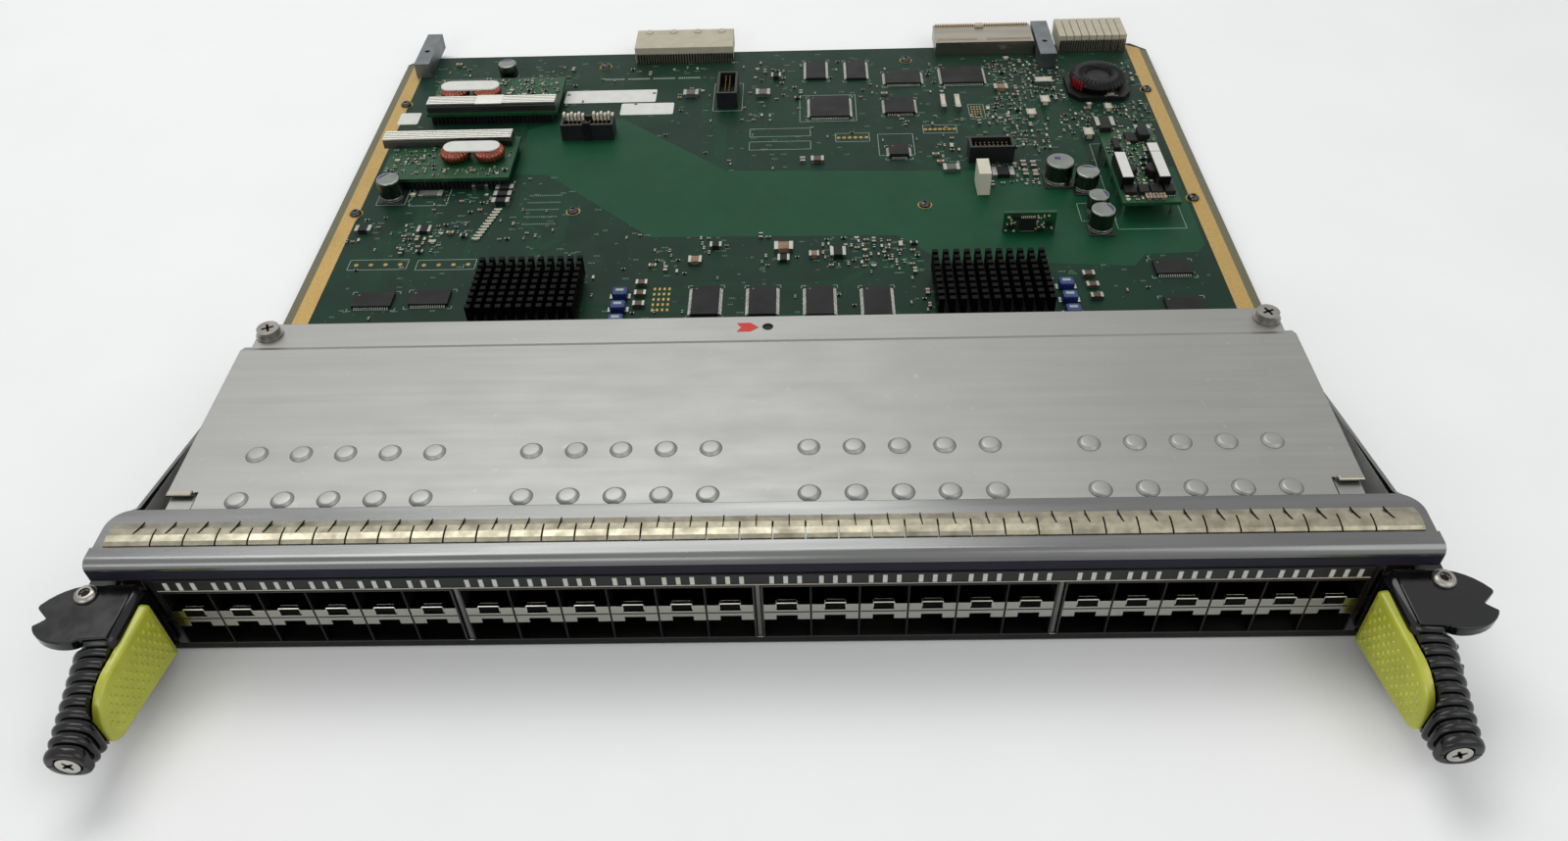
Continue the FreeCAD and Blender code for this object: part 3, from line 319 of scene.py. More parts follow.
CAD_FINISH = {
    "faceplate": "face", "gasket_strip": "finger", "light_pipe_bezel": "dark", "light_pipes": "pipe",
    "cover_plate": "cover", "cover_pillars": "screw", "cover_screws": "button",
    "board_spacers": "screw", "pivot_screws": "screw", "bottom_pan": "pan", "main_board": "board",
    "board_screws": "jet", "shrouded_headers": "dark", "signal_connector": "cream",
    "shielded_connector": "shield", "power_connector": "cream", "converter_boards": "module",
    "daughter_board": "module", "converter_bars": "bar", "converter_pins": "screw",
    "converter_chokes": "copper", "capacitor_cans": "can_side_shaded", "flat_chips": "chip",
    "blue_capacitors": "blue", "upright_header": "white", "power_module": "module",
    "power_chokes": "winding", "ring_inductor": "winding", "pivot_posts": "bracket",
    "cage_shell": "cage", "port_separators": "cage_edge", "port_dividers": "mirror",
    "port_connector": "black", "guide_block": "guide", "heat_sink": "sink", "lever": "lever",
    "grip_pad": "pad", "captive_screw": "screw", "pivot_bracket": "bracket",
}


def dress_cad():
    """Give every CAD node its finish, found by its name or by the start of it."""
    for name, thing in NODES.items():
        key = name if name in CAD_FINISH else next(k for k in CAD_FINISH if name.startswith(k))
        thing.data.materials.clear()
        thing.data.materials.append(M[CAD_FINISH[key]])


# ---------------------------------------------------------------- mesh making

def arc(centre, radius, start, sweep, steps):
    """Points along an arc in plan, its angles in degrees."""
    angles = [math.radians(start + sweep * step / steps) for step in range(steps + 1)]
    return [(centre[0] + radius * math.cos(angle), centre[1] + radius * math.sin(angle))
            for angle in angles]


def circle(centre, radius, sides):
    return arc(centre, radius, 0, 360, sides)[:-1]


def rounded(x0, y0, x1, y1, left, right, steps):
    """The outline of a rectangle, with a corner radius for its left side and one for its right."""
    return (arc((x1 - right, y0 + right), right, -90, 90, steps)
            + arc((x1 - right, y1 - right), right, 0, 90, steps)
            + arc((x0 + left, y1 - left), left, 90, 90, steps)
            + arc((x0 + left, y0 + left), left, 180, 90, steps))


def spun(points, centre, turn):
    """Points in plan turned about the origin, and then moved to centre."""
    cosine, sine = math.cos(turn), math.sin(turn)
    return [(centre[0] + x * cosine - y * sine, centre[1] + x * sine + y * cosine) for x, y in points]


def spaced(first, last, margin, count):
    """Places spread evenly between two ends, with a margin inside each."""
    return [first + margin + step * (last - first - 2 * margin) / (count - 1) for step in range(count)]


class Solid:
    """Collects the faces of one piece, in millimetres."""

    def __init__(self):
        self.points = []
        self.faces = []

    def loft(self, rings, joined=False):
        """Skin rings that have the same number of points, and cap the ends or join them up."""
        start, count, rows = len(self.points), len(rings[0]), len(rings)
        self.points += [tuple(point) for ring in rings for point in ring]
        faces = [(row * count + i, row * count + (i + 1) % count,
                  (row + 1) % rows * count + (i + 1) % count, (row + 1) % rows * count + i)
                 for row in range(rows if joined else rows - 1) for i in range(count)]
        if not joined:
            faces += [tuple(reversed(range(count))), tuple(range((rows - 1) * count, rows * count))]
        self.faces += [tuple(start + index for index in face) for face in faces]
        return self

    def brick(self, centre, size, chamfer=0.0, turn=0.0):
        """A block standing on centre, with its top edges chamfered."""
        half_x, half_y, tall = size[0] / 2, size[1] / 2, size[2]
        cut = min(chamfer, half_x * 0.6, half_y * 0.6, tall * 0.6)
        rings = []
        for inset, rise in ((0, 0), (0, tall - cut), (cut, tall)) if cut else ((0, 0), (0, tall)):
            x, y = half_x - inset, half_y - inset
            ring = spun(((-x, -y), (x, -y), (x, y), (-x, y)), centre, turn)
            rings.append([(*spot, centre[2] + rise) for spot in ring])
        return self.loft(rings)

    def turned(self, centre, profile, sides=28):
        """A profile of (radius, height) turned about an upright axis through centre."""
        return self.loft([[(x, y, centre[2] + height) for x, y in circle(centre, radius, sides)]
                          for radius, height in profile])

    def plate(self, outline, bottom, thickness):
        """A flat plate from its outline in plan."""
        return self.loft([[(x, y, z) for x, y in outline] for z in (bottom, bottom + thickness)])

    def strip(self, path, width, bottom, thickness=0.03):
        """Flat straight strips along a path in plan."""
        for (x0, y0), (x1, y1) in zip(path, path[1:]):
            length = math.hypot(x1 - x0, y1 - y0)
            if length:
                middle = ((x0 + x1) / 2, (y0 + y1) / 2, bottom)
                self.brick(middle, (length + width, width, thickness),
                           turn=math.atan2(y1 - y0, x1 - x0))
        return self

    def piece(self, name, finish, slot, body="card", smooth=False, replaces=()):
        """Make the Blender object, and let it ride on a body and stand for CAD nodes."""
        mesh = bpy.data.meshes.new(name)
        mesh.from_pydata([Vector(point) * MM for point in self.points], [], self.faces)
        mesh.materials.append(M[finish])
        thing = bpy.data.objects.new(name, mesh)
        bpy.context.scene.collection.objects.link(thing)
        if smooth:
            mesh.shade_smooth()
            mesh.set_sharp_from_angle(angle=math.radians(32))
        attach(thing, body)
        if replaces:
            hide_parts(*replaces)
        return thing


def islands(node):
    """The separate solids of a CAD node: the low and high corner and the centre of each."""
    mesh = NODES[node].data
    spots = {}
    keys = [spots.setdefault(tuple(round(c, 6) for c in v.co), len(spots)) for v in mesh.vertices]
    parent = list(range(len(spots)))

    def root(item):
        while parent[item] != item:
            parent[item] = parent[parent[item]]
            item = parent[item]
        return item

    for polygon in mesh.polygons:
        first = root(keys[polygon.vertices[0]])
        for vertex in polygon.vertices[1:]:
            parent[root(keys[vertex])] = first
    groups = {}
    for spot, index in spots.items():
        groups.setdefault(root(index), []).append(spot)
    boxes = []
    for group in groups.values():
        lo = Vector([min(p[axis] for p in group) / MM for axis in range(3)])
        hi = Vector([max(p[axis] for p in group) / MM for axis in range(3)])
        boxes.append((lo, hi, (lo + hi) / 2))
    return sorted(boxes, key=lambda box: (box[0].x, box[0].y))


# ---------------------------------------------------------------- the bare board

# Widths of the bare and the gold strip along each long edge, and the size of the cut rear corners.
EDGE_BARE, EDGE_GOLD, CORNER = 3.4, 6.6, 8.4
FILM = 0.03
LINE_WIDTH, LANE_PITCH, DASH_PITCH = 0.22, 0.75, 0.75
# The ink corners round a package: how far off they stand, and how long their arms are.
MARK_GAP, MARK_ARM = 1.8, 1.6
BOARD_SLOT, METAL_SLOT, CHIP_SLOT = "green_board", "screw_steel", "chip_plastic"
LABEL_SLOT, BLACK_SLOT, CORE_SLOT = "white_plastic", "black_plastic", "choke_dark"

POUR_OUTLINE = ((-119, 261), (-103, 259), (-52, 208.5), (54, 206.6), (70.6, 189), (150, 182),
                (156, 190), (178, 191), (182, 196), (182.6, 256), (94, 256), (-21, 260),
                (-74, 309), (-102, 309), (-119, 300))


def board_edges():
    """Bare laminate along both long edges, and the gold-plated ground strip inside it."""
    gold, bare = Solid(), Solid()
    front, rear = low("main_board").y + 1, BOARD_REAR - CORNER
    for side in (-1, 1):
        outer, middle, inner = (side * (BOARD_HALF - inset)
                                for inset in (0.1, EDGE_BARE, EDGE_BARE + EDGE_GOLD))
        for solid, a, b, a_rear, b_rear in ((bare, outer, middle, rear, rear + 3),
                                            (gold, middle, inner, rear + 3, rear + 7)):
            outline = [(a, front), (b, front), (b, b_rear), (a, a_rear)]
            solid.plate(outline[::side], BOARD_TOP, FILM)
    gold.piece("ground_strips", "gold_edge", BOARD_SLOT)
    bare.piece("bare_board_edges", "bare_edge", BOARD_SLOT)


def copper_pour():
    Solid().plate(POUR_OUTLINE, BOARD_TOP, FILM * 0.6).piece("copper_pour", "pour", BOARD_SLOT)


def inside(x, y, outline):
    """True if a point lies inside an outline in plan."""
    hit = False
    for (x0, y0), (x1, y1) in zip(outline, outline[1:] + outline[:1]):
        if (y0 > y) != (y1 > y) and x < (x1 - x0) * (y - y0) / (y1 - y0) + x0:
            hit = not hit
    return hit


def anywhere():
    """A random place on the part of the board that carries small parts."""
    return DICE.uniform(-178, 178), DICE.uniform(124, 372)


def traces():
    """Bundles of fine copper runs that show through the mask."""
    runs = Solid()
    for _ in range(64):
        x, y = DICE.uniform(-172, 165), DICE.uniform(130, 365)
        step_x, step_y = DICE.choice(((1, 0), (0, 1), (-1, 0), (0, -1)))
        first, slant, last = DICE.uniform(8, 34), DICE.uniform(3, 14), DICE.uniform(6, 30)
        bend = DICE.choice((-1, 1))
        for lane in range(DICE.randint(3, 8)):
            shift = lane * LANE_PITCH
            x0, y0 = x - step_y * shift, y + step_x * shift
            x1, y1 = x0 + step_x * first, y0 + step_y * first
            x2 = x1 + (step_x - step_y * bend) * slant
            y2 = y1 + (step_y + step_x * bend) * slant
            path = [(x0, y0), (x1, y1), (x2, y2), (x2 + step_x * last, y2 + step_y * last)]
            if all(abs(px) < 180 and 126 < py < 370 and not inside(px, py, POUR_OUTLINE)
                   for px, py in path):
                runs.strip(path, LINE_WIDTH, BOARD_TOP, 0.012)
    runs.piece("copper_runs", "pour", BOARD_SLOT)


def vias():
    """Small tinned holes scattered over the dark part of the board."""
    dots = Solid()
    for _ in range(620):
        x, y = anywhere()
        if not inside(x, y, POUR_OUTLINE):
            dots.turned((x, y, BOARD_TOP), ((0.26, 0), (0.22, 0.03)), 6)
    dots.piece("via_dots", "faint_ink", BOARD_SLOT)


# ---------------------------------------------------------------- small surface-mounted parts

# Clusters of loose passives: low x, low y, high x, high y, how many.
CLUSTERS = (
    (-184, 208, -170, 226, 6), (-160, 200, -142, 222, 24), (-142, 210, -132, 226, 6),
    (-140, 228, -126, 258, 9), (-164, 236, -146, 250, 5), (-49, 182, -38, 200, 9),
    (-30, 196, -18, 208, 6), (-6, 184, 2, 208, 5), (22, 184, 46, 206, 28),
    (47, 180, 62, 203, 22), (-48, 326, -36, 338, 4), (-12, 300, 0, 312, 5),
    (-10, 340, 6, 366, 6), (0, 322, 14, 340, 5), (44, 326, 56, 338, 4), (78, 328, 86, 360, 8),
    (109, 318, 131, 362, 62), (132, 318, 146, 362, 26), (76, 262, 88, 284, 10),
    (109, 274, 131, 297, 34), (160, 276, 180, 292, 18), (138, 286, 158, 306, 22),
    (98, 244, 122, 262, 26), (88, 296, 110, 306, 8), (104, 296, 124, 316, 26),
    (-88, 352, 60, 360, 12), (150, 296, 182, 314, 24), (176, 330, 183, 360, 6),
    (60, 296, 78, 304, 4), (-100, 180, -70, 196, 4), (62, 150, 66, 170, 3),
    (-116, 206, -98, 226, 5), (-178, 345, -150, 368, 8), (-128, 342, -100, 366, 10),
)

# What loose passives keep clear of.
CARD_PARTS = ("flat_chips", "capacitor_cans", "shrouded_headers", "blue_capacitors",
              "upright_header", "power_module", "daughter_board", "ring_inductor", "board_screws",
              "heat_sink_left", "heat_sink_right", "shielded_connector", "signal_connector",
              "guide_block_left", "guide_block_right", "power_connector")

# Larger single parts: x, y, length, width, height, finish, and whether the length runs along y.
SINGLES = (
    (-178, 217, 7, 4.2, 1.8, "chip", False), (-151, 216, 6, 4.6, 1.6, "chip", False),
    (-132.6, 250.6, 7.4, 5.4, 2.4, "chip", False), (-121, 247, 8, 3.6, 2.4, "chip", False),
    (-121, 241.6, 8, 3.6, 2.4, "chip", False), (-121, 236.2, 8, 3.6, 2.4, "chip", False),
    (-154.4, 244.6, 11, 4.4, 1.2, "grey", False),
    (-31.2, 190, 5.6, 4.4, 1.8, "tan", False), (-23, 200, 5, 3.4, 2, "chip", False),
    (5.8, 198, 8, 5.6, 2.2, "tan", False), (5.8, 190.4, 5, 4.4, 1.6, "chip", False),
    (18.6, 192.6, 4.2, 3.6, 1.8, "tan", False), (28.6, 193.6, 6.6, 6.2, 2, "chip", False),
    (-41.6, 330.4, 7.6, 5, 2.2, "grey", False), (-5.4, 329.4, 7.2, 5.4, 2.2, "grey", False),
    (1, 347, 5, 4.2, 2, "chip", False), (113.4, 330, 7, 4.8, 2.2, "tan", False),
    (82, 257, 7.6, 5, 2, "grey", False), (14.2, 267, 3.6, 2.6, 1.4, "grey", True),
    (21, 266.4, 6, 4, 2, "brown", False), (104.8, 252.6, 10, 7, 2, "chip", False),
    (115, 259.6, 4.4, 2.6, 1.6, "brown", True), (119.4, 259, 4.4, 2.6, 1.6, "brown", True),
    (115, 252, 4.4, 2.6, 1.6, "brown", True), (119.4, 251.4, 4.4, 2.6, 1.6, "tan", True),
    (-52.2, 175, 4.8, 2.9, 1.8, "brown", False), (-52.2, 168, 4.8, 2.9, 1.8, "brown", False),
    (-52.2, 161, 4.8, 2.9, 1.8, "brown", False), (129.8, 176, 5, 2.9, 1.8, "brown", False),
    (130.2, 168.6, 5, 2.9, 1.8, "brown", False), (130.6, 161.4, 5, 2.9, 1.8, "brown", False),
    (64.2, 158, 2.6, 1.4, 1, "tan", True),
    (135.5, 335.5, 4.8, 9, 2.4, "ivory", True), (133.3, 316.5, 4.6, 6.4, 2.2, "ivory", False),
    (124.9, 304.4, 4.6, 5.4, 2.2, "ivory", False), (165.8, 321.2, 6.6, 8, 2.4, "ivory", False),
    (162.7, 308.7, 3.9, 5, 2, "ivory", False), (148.9, 284.4, 4.5, 6.6, 2.6, "ivory", False),
    (83.5, 316, 12.5, 2.4, 2.6, "ivory", True), (90.5, 315.6, 12.5, 2.6, 2.6, "ivory", True),
    (157.8, 292.6, 9, 8, 3, "chip", False), (174.6, 286, 7.6, 7, 2.4, "chip", False),
)

# Empty footprints drawn in ink: low x, low y, high x, high y, gold pads in a row.
FOOTPRINTS = (
    (-178, 188.6, -153, 195.6, 4), (-149, 187.8, -124, 194.8, 4), (-11, 289.4, 18, 296.6, 0),
    (-11, 277.6, 18, 284.8, 0), (30, 283.4, 46, 291, 6), (72, 289.6, 88, 297, 7),
    (-163, 236, -146, 252, 0), (50, 270.6, 66.6, 289.6, 0), (95.6, 302, 103, 316, 0),
    (148.4, 208, 177.4, 277, 0), (134, 214.6, 148.8, 228, 0), (-178, 237, -165, 249.6, 0),
    (13, 302.6, 40.6, 328, 0), (-30, 314.6, -15.6, 342, 0),
)

STICKERS = ((-105.3, 325, -59.2, 337.4), (-75.9, 312.5, -49.6, 323.7), (-185.6, 307.6, -175.4, 318.6))


class Passives:
    """Bodies and end caps of two-terminal parts, gathered by finish."""

    def __init__(self):
        self.bodies = {name: Solid() for name in ("tan", "brown", "chip", "grey", "ivory")}
        self.caps = Solid()
        self.taken = [(lo.x, lo.y, hi.x, hi.y) for node in CARD_PARTS for lo, hi, _ in islands(node)]

    def clear(self, x, y, reach):
        return all(x + reach < x0 or x - reach > x1 or y + reach < y0 or y - reach > y1
                   for x0, y0, x1, y1 in self.taken)

    def put(self, x, y, length, width, tall, finish, along_y=False, base=BOARD_TOP):
        """One part: a body with a bright cap on each end."""
        turn = -1 if along_y else 1
        cap = length * 0.22
        self.bodies[finish].brick((x, y, base + 0.05), (*(length * 0.9, width * 0.9)[::turn], tall), 0.08)
        for end in (-1, 1):
            shift_x, shift_y = (end * (length - cap) / 2, 0)[::turn]
            size = (*(cap, width)[::turn], tall + 0.09)
            self.caps.brick((x + shift_x, y + shift_y, base), size, 0.06)
        reach = length / 2
        self.taken.append((x - reach, y - reach, x + reach, y + reach))

    def scatter(self, x0, y0, x1, y1, count, base=BOARD_TOP):
        """Up to count parts on a 0.8 grid, where there is room for them."""
        placed = 0
        for _ in range(count * 12):
            if placed == count:
                break
            length = DICE.choice((1.6, 1.6, 2.0, 2.0, 3.2))
            x, y = round(DICE.uniform(x0, x1) / 0.8) * 0.8, round(DICE.uniform(y0, y1) / 0.8) * 0.8
            if self.clear(x, y, length * 0.65):
                finish = DICE.choice(("tan", "tan", "brown", "chip", "chip", "ivory"))
                along_y = DICE.random() < 0.5
                self.put(x, y, length, length * 0.55, length * 0.38, finish, along_y, base)
                placed += 1

    def finish(self, prefix):
        for name, solid in self.bodies.items():
            if solid.points:
                solid.piece("%s_%s" % (prefix, name), name, CHIP_SLOT)
        self.caps.piece(prefix + "_end_caps", "tin", METAL_SLOT)


def passives():
    parts = Passives()
    for single in SINGLES:
        parts.put(*single)
    slanting_row = ((-121.4 - index * 0.58, 231 - index * 2.2) for index in range(11))
    for x, y in slanting_row:
        parts.put(x, y, 3.6, 1.2, 0.8, "ivory")
    for cluster in CLUSTERS:
        parts.scatter(*cluster)
    for _ in range(260):
        x, y = DICE.uniform(-176, 176), DICE.uniform(126, 366)
        if not inside(x, y, POUR_OUTLINE) and parts.clear(x, y, 2):
            parts.put(x, y, 1.6, 0.8, 0.6, DICE.choice(("tan", "chip")), DICE.random() < 0.5)
    parts.finish("passive_parts")


def lead_rows(solid, lo, hi, axis, pitch):
    """Gull-wing leads down the two sides of a package that run along an axis."""
    size = hi - lo
    count = int((size[axis] - 1) / pitch)
    for step in range(count):
        along = lo[axis] + size[axis] / 2 + (step - (count - 1) / 2) * pitch
        for edge, sign in ((lo[1 - axis], -1), (hi[1 - axis], 1)):
            for out, length, rise, thick, chamfer in ((0.35, 0.8, 0.3, 0.3, 0.1), (0.95, 0.7, 0, 0.16, 0.05)):
                turn = 1 if axis else -1
                spot = (edge + sign * out, along)[::turn]
                solid.brick((*spot, lo.z + rise), (*(length, 0.38)[::turn], thick), chamfer)


# Packages taller than this stand on balls and show no leads.
TALL_PACKAGE = 2.1


def chip_leads():
    """Leads down the long or all sides of each flat package, and its corner dot."""
    leads, dots = Solid(), Solid()
    for lo, hi, _ in islands("flat_chips"):
        length, width, tall = hi - lo
        if tall > TALL_PACKAGE:
            continue
        square = 0.9 < length / width < 1.15
        pitch = 0.9 if max(length, width) < 17.5 else 0.8
        if square or width > length * 1.15 or length > 17:
            lead_rows(leads, lo, hi, 1, pitch)
        if square or length > width * 1.15:
            lead_rows(leads, lo, hi, 0, pitch)
        dots.turned((lo.x + 1.7, hi.y - 1.7, hi.z), ((0.55, 0), (0.5, 0.02)), 16)
    leads.piece("chip_leads", "lead", METAL_SLOT)
    dots.piece("chip_corner_dots", "grey", CHIP_SLOT)


def ink():
    """Outlines, part marks as plain dashes, and rings round the fixing holes."""
    lines, faint, gold = Solid(), Solid(), Solid()
    for x0, y0, x1, y1, pads in FOOTPRINTS:
        lines.strip([(x0, y0), (x1, y0), (x1, y1), (x0, y1), (x0, y0)], LINE_WIDTH, BOARD_TOP)
        for index in range(pads):
            spot = (x0 + (x1 - x0) * (index + 0.5) / pads, (y0 + y1) / 2, BOARD_TOP)
            gold.turned(spot, ((1.0, 0), (0.9, 0.05), (0.5, 0.05)), 12)
    for lo, hi, _ in islands("flat_chips"):
        for x, run_x in ((lo.x - MARK_GAP, MARK_ARM), (hi.x + MARK_GAP, -MARK_ARM)):
            for y, run_y in ((lo.y - MARK_GAP, MARK_ARM), (hi.y + MARK_GAP, -MARK_ARM)):
                lines.strip([(x, y + run_y), (x, y), (x + run_x, y)], LINE_WIDTH, BOARD_TOP)
    spots = [anywhere() for _ in range(560)]
    for x0, y0, x1, y1, count in CLUSTERS:
        spots += [(DICE.uniform(x0, x1), DICE.uniform(y0, y1)) for _ in range(count)]
    for x, y in spots:
        if inside(x, y, POUR_OUTLINE):
            continue
        for letter in range(DICE.randint(2, 4)):
            faint.brick((x + letter * DASH_PITCH, y, BOARD_TOP), (0.45, DICE.choice((0.7, 0.9)), 0.02))
    for _, _, centre in islands("board_screws"):
        gold.turned((centre.x, centre.y, BOARD_TOP), ((3.2, 0), (3.15, 0.05), (2.4, 0.05)), 36)
    gold.turned((180.4, 370.8, BOARD_TOP), ((2.5, 0), (2.4, 0.05), (1.1, 0.05)), 28)
    for row in range(5):
        for step in range(16):
            faint.brick((-109 + step * 0.95, 220 + row * 5.6, BOARD_TOP), (0.55, 1.0, 0.02))
    for group in range(4):
        for step in range(12):
            lines.brick((-88 + group * 13 + step * 0.95, 349, BOARD_TOP), (0.4, 1.5, 0.02))
    for row in range(5):
        for column in range(4):
            gold.brick((97 + column * 1.4, 304 + row * 2.4, BOARD_TOP), (0.8, 1.2, 0.05))
            gold.brick((-46.6 + column * 2, 158.4 + row * 3.4, BOARD_TOP), (0.9, 1.6, 0.05))
    lines.piece("ink_outlines", "ink", BOARD_SLOT)
    faint.piece("ink_part_marks", "faint_ink", BOARD_SLOT)
    gold.piece("gold_pads", "gold", BOARD_SLOT)


def stickers():
    """Blank paper stickers with rounded corners."""
    for index, (x0, y0, x1, y1) in enumerate(STICKERS):
        sticker = Solid().plate(rounded(x0, y0, x1, y1, 1, 1, 4), BOARD_TOP, 0.12)
        sticker.piece("blank_sticker_%d" % index, "paper", LABEL_SLOT)


# ---------------------------------------------------------------- taller board parts

# Where each can's printed segment points, in degrees; the big can has a square mark instead.
CAN_MARK_ANGLES = (140, 100, None, 80, 20, 15)
# Middle of each choke's label and half its length, in the order of the converter boards.
CHOKE_PLACES = ((-137.8, 265.2, 11.6), (-149.6, 322.4, 13.0))
# How far each of a choke's rings is from the label's middle, its radius, and its half section.
RING_OFFSET, RING_RADIUS, RING_SECTION = 7.9, 4.5, (2.4, 2.64)
LABEL_RADIUS = 4.4


def electrolytics():
    """Cans with a rolled neck, a vented top, a dark base and a printed segment."""
    sides, tops, bases, marks, rims = Solid(), Solid(), Solid(), Solid(), Solid()
    for (lo, hi, centre), mark_angle in zip(islands("capacitor_cans"), CAN_MARK_ANGLES):
        radius, tall = (hi.x - lo.x) / 2, hi.z - lo.z
        foot = (centre.x, centre.y, lo.z)

        def around(solid, base, profile):
            """Turn a profile whose radii are shares of the can's."""
            solid.turned((centre.x, centre.y, base), [(radius * r, z) for r, z in profile], 48)

        around(sides, lo.z, ((0.95, 0.8), (1, 1.1), (1, 1.9), (0.93, 2.4), (1, 2.9),
                             (1, tall - 0.6), (0.95, tall - 0.2)))
        around(rims, lo.z, ((0.98, 0.75), (1.015, 0.95), (1.015, 1.25), (0.98, 1.4)))
        around(tops, lo.z + tall - 0.3, ((0.97, 0), (0.95, 0.2), (0.9, 0.3), (0.85, 0.24),
                                         (0.2 / radius, 0.24)))
        bases.brick(foot, (radius * 2.06, radius * 2.06, 0.8), 0.3)
        mark_z = lo.z + tall - 0.07
        if mark_angle is None:
            marks.brick((centre.x - 1, centre.y + 2, mark_z), (2.6, 2.2, 0.05))
        else:
            marks.plate(arc(centre, radius * 0.84, mark_angle - 48, 96, 8), mark_z, 0.05)
    # The sides take the darker copy of the can metal as painted shade on the upright faces.
    sides.piece("electrolytic_cans", "can_side_shaded", "can_aluminium", smooth=True,
                replaces=["capacitor_cans"])
    tops.piece("electrolytic_tops", "can", "can_aluminium", smooth=True)
    rims.piece("electrolytic_rims", "can", "can_aluminium", smooth=True)
    bases.piece("electrolytic_bases", "dark", "dark_plastic")
    marks.piece("electrolytic_marks", "violet", "dark_plastic")


def wound_ring(solid, centre, ring_radius, half_section, turns, ripple):
    """A toroid lying flat whose oval section swells at each turn of its wire."""
    half_width, half_height = half_section
    steps = turns * 4
    rings = []
    for step in range(steps):
        around = 2 * math.pi * step / steps
        swell = 1 + ripple * math.cos(turns * around)
        ring = []
        for u, v in circle((0, 0), swell, 12):
            reach = ring_radius + half_width * u
            ring.append((centre[0] + reach * math.cos(around), centre[1] + reach * math.sin(around),
                         centre[2] + half_height * v))
        rings.append(ring)
    solid.loft(rings, joined=True)


def chokes():
    """Two copper rings under one blank label on each converter board, with a black post in each ring's hole
    as painted shade.
    """
    coils, labels, cores = Solid(), Solid(), Solid()
    for (_, hi, _), (x, y, half) in zip(islands("converter_boards"), CHOKE_PLACES):
        for side in (-1, 1):
            ring_x = x + side * RING_OFFSET
            wound_ring(coils, (ring_x, y, hi.z + 3.1), RING_RADIUS, RING_SECTION, 24, 0.09)
            # Painted shade: a black post fills the ring's hole, where the middle of the coil is dark.
            cores.turned((ring_x, y, hi.z), ((3, 0), (3, 4), (2.6, 4.3)), 20)
        outline = (arc((x + half - 3, y + 0.6), LABEL_RADIUS, -90, 180, 8)
                   + arc((x - half + 3, y + 0.6), LABEL_RADIUS, 90, 180, 8))
        labels.plate(outline, hi.z + 5.6, 0.7)
    coils.piece("choke_windings", "copper", "choke_copper", smooth=True,
                replaces=["converter_chokes"])
    cores.piece("choke_hole_shades", "black", CORE_SLOT)
    labels.piece("choke_labels", "paper", LABEL_SLOT)


def module_parts():
    """Small parts on the converter boards, their pin strips, and the fins of the cooling bars."""
    parts, strips, fins = Passives(), Solid(), Solid()
    bars = islands("converter_bars")
    for (lo, hi, _), (label_x, label_y, _) in zip(islands("converter_boards"), CHOKE_PLACES):
        parts.taken = [(a.x, a.y, b.x, b.y) for a, b, _ in bars]
        parts.taken.append((label_x - 15.5, label_y - 7.4, label_x + 15.5, label_y + 7.4))
        for _ in range(330):
            length = DICE.choice((1.0, 1.0, 1.6, 1.6, 2.4))
            x, y = DICE.uniform(lo.x + 2, hi.x - 2), DICE.uniform(lo.y + 2, hi.y - 2)
            if parts.clear(x, y, length * 0.6):
                finish = DICE.choice(("tan", "chip", "chip", "grey", "ivory"))
                along_y = DICE.random() < 0.5
                parts.put(x, y, length, length * 0.6, length * 0.4, finish, along_y, hi.z)
        for y in (lo.y + 1.1, hi.y - 1.1):
            for step in range(int((hi.x - lo.x - 3) / 2)):
                spot = (lo.x + 2.4 + step * 2, y, BOARD_TOP)
                strips.brick(spot, (1.5, 1.3, lo.z - BOARD_TOP), 0.1)
    for lo, hi, centre in bars:
        for y in spaced(lo.y, hi.y, 0.75, 5):
            fins.brick((centre.x, y, hi.z - 0.1), (hi.x - lo.x - 0.2, 0.85, 1.0), 0.2)
    lo, hi, centre = bars[1]
    fins.brick((centre.x - 1, centre.y, hi.z), (13, hi.y - lo.y + 0.6, 1.0), 0.3)
    parts.finish("module_parts")
    strips.piece("module_pin_strips", "black", BLACK_SLOT)
    fins.piece("cooling_bar_fins", "fin", "bar_aluminium")


def rounded_blues():
    """Dipped capacitors with softly rounded shoulders, pale tops and bright feet."""
    bodies, feet, tops = Solid(), Solid(), Solid()
    for lo, hi, centre in islands("blue_capacitors"):
        size = hi - lo
        section = []
        for u, v in circle((0, 0), 1, 24):
            bulge = (abs(u) ** 7 + abs(v) ** 7) ** (-1 / 7)
            section.append((size.x / 2 * bulge * u, size.y / 2 * bulge * v))
        bodies.loft([[(centre.x + x * share, centre.y + y * share, lo.z + rise) for x, y in section]
                     for share, rise in ((0.94, 0.1), (1, 0.4), (1, size.z - 0.8),
                                         (0.95, size.z - 0.3), (0.84, size.z))])
        tops.brick((centre.x, centre.y + 0.4, hi.z), (size.x * 0.5, size.y * 0.3, 0.03))
        for side in (-1, 1):
            feet.brick((centre.x + side * (size.x / 2 + 0.3), centre.y, lo.z), (1.6, 3, 0.5), 0.15)
    bodies.piece("dipped_capacitors", "blue", "blue_plastic", smooth=True,
                 replaces=["blue_capacitors"])
    tops.piece("dipped_capacitor_marks", "ink", LABEL_SLOT)
    feet.piece("dipped_capacitor_feet", "tin", METAL_SLOT)


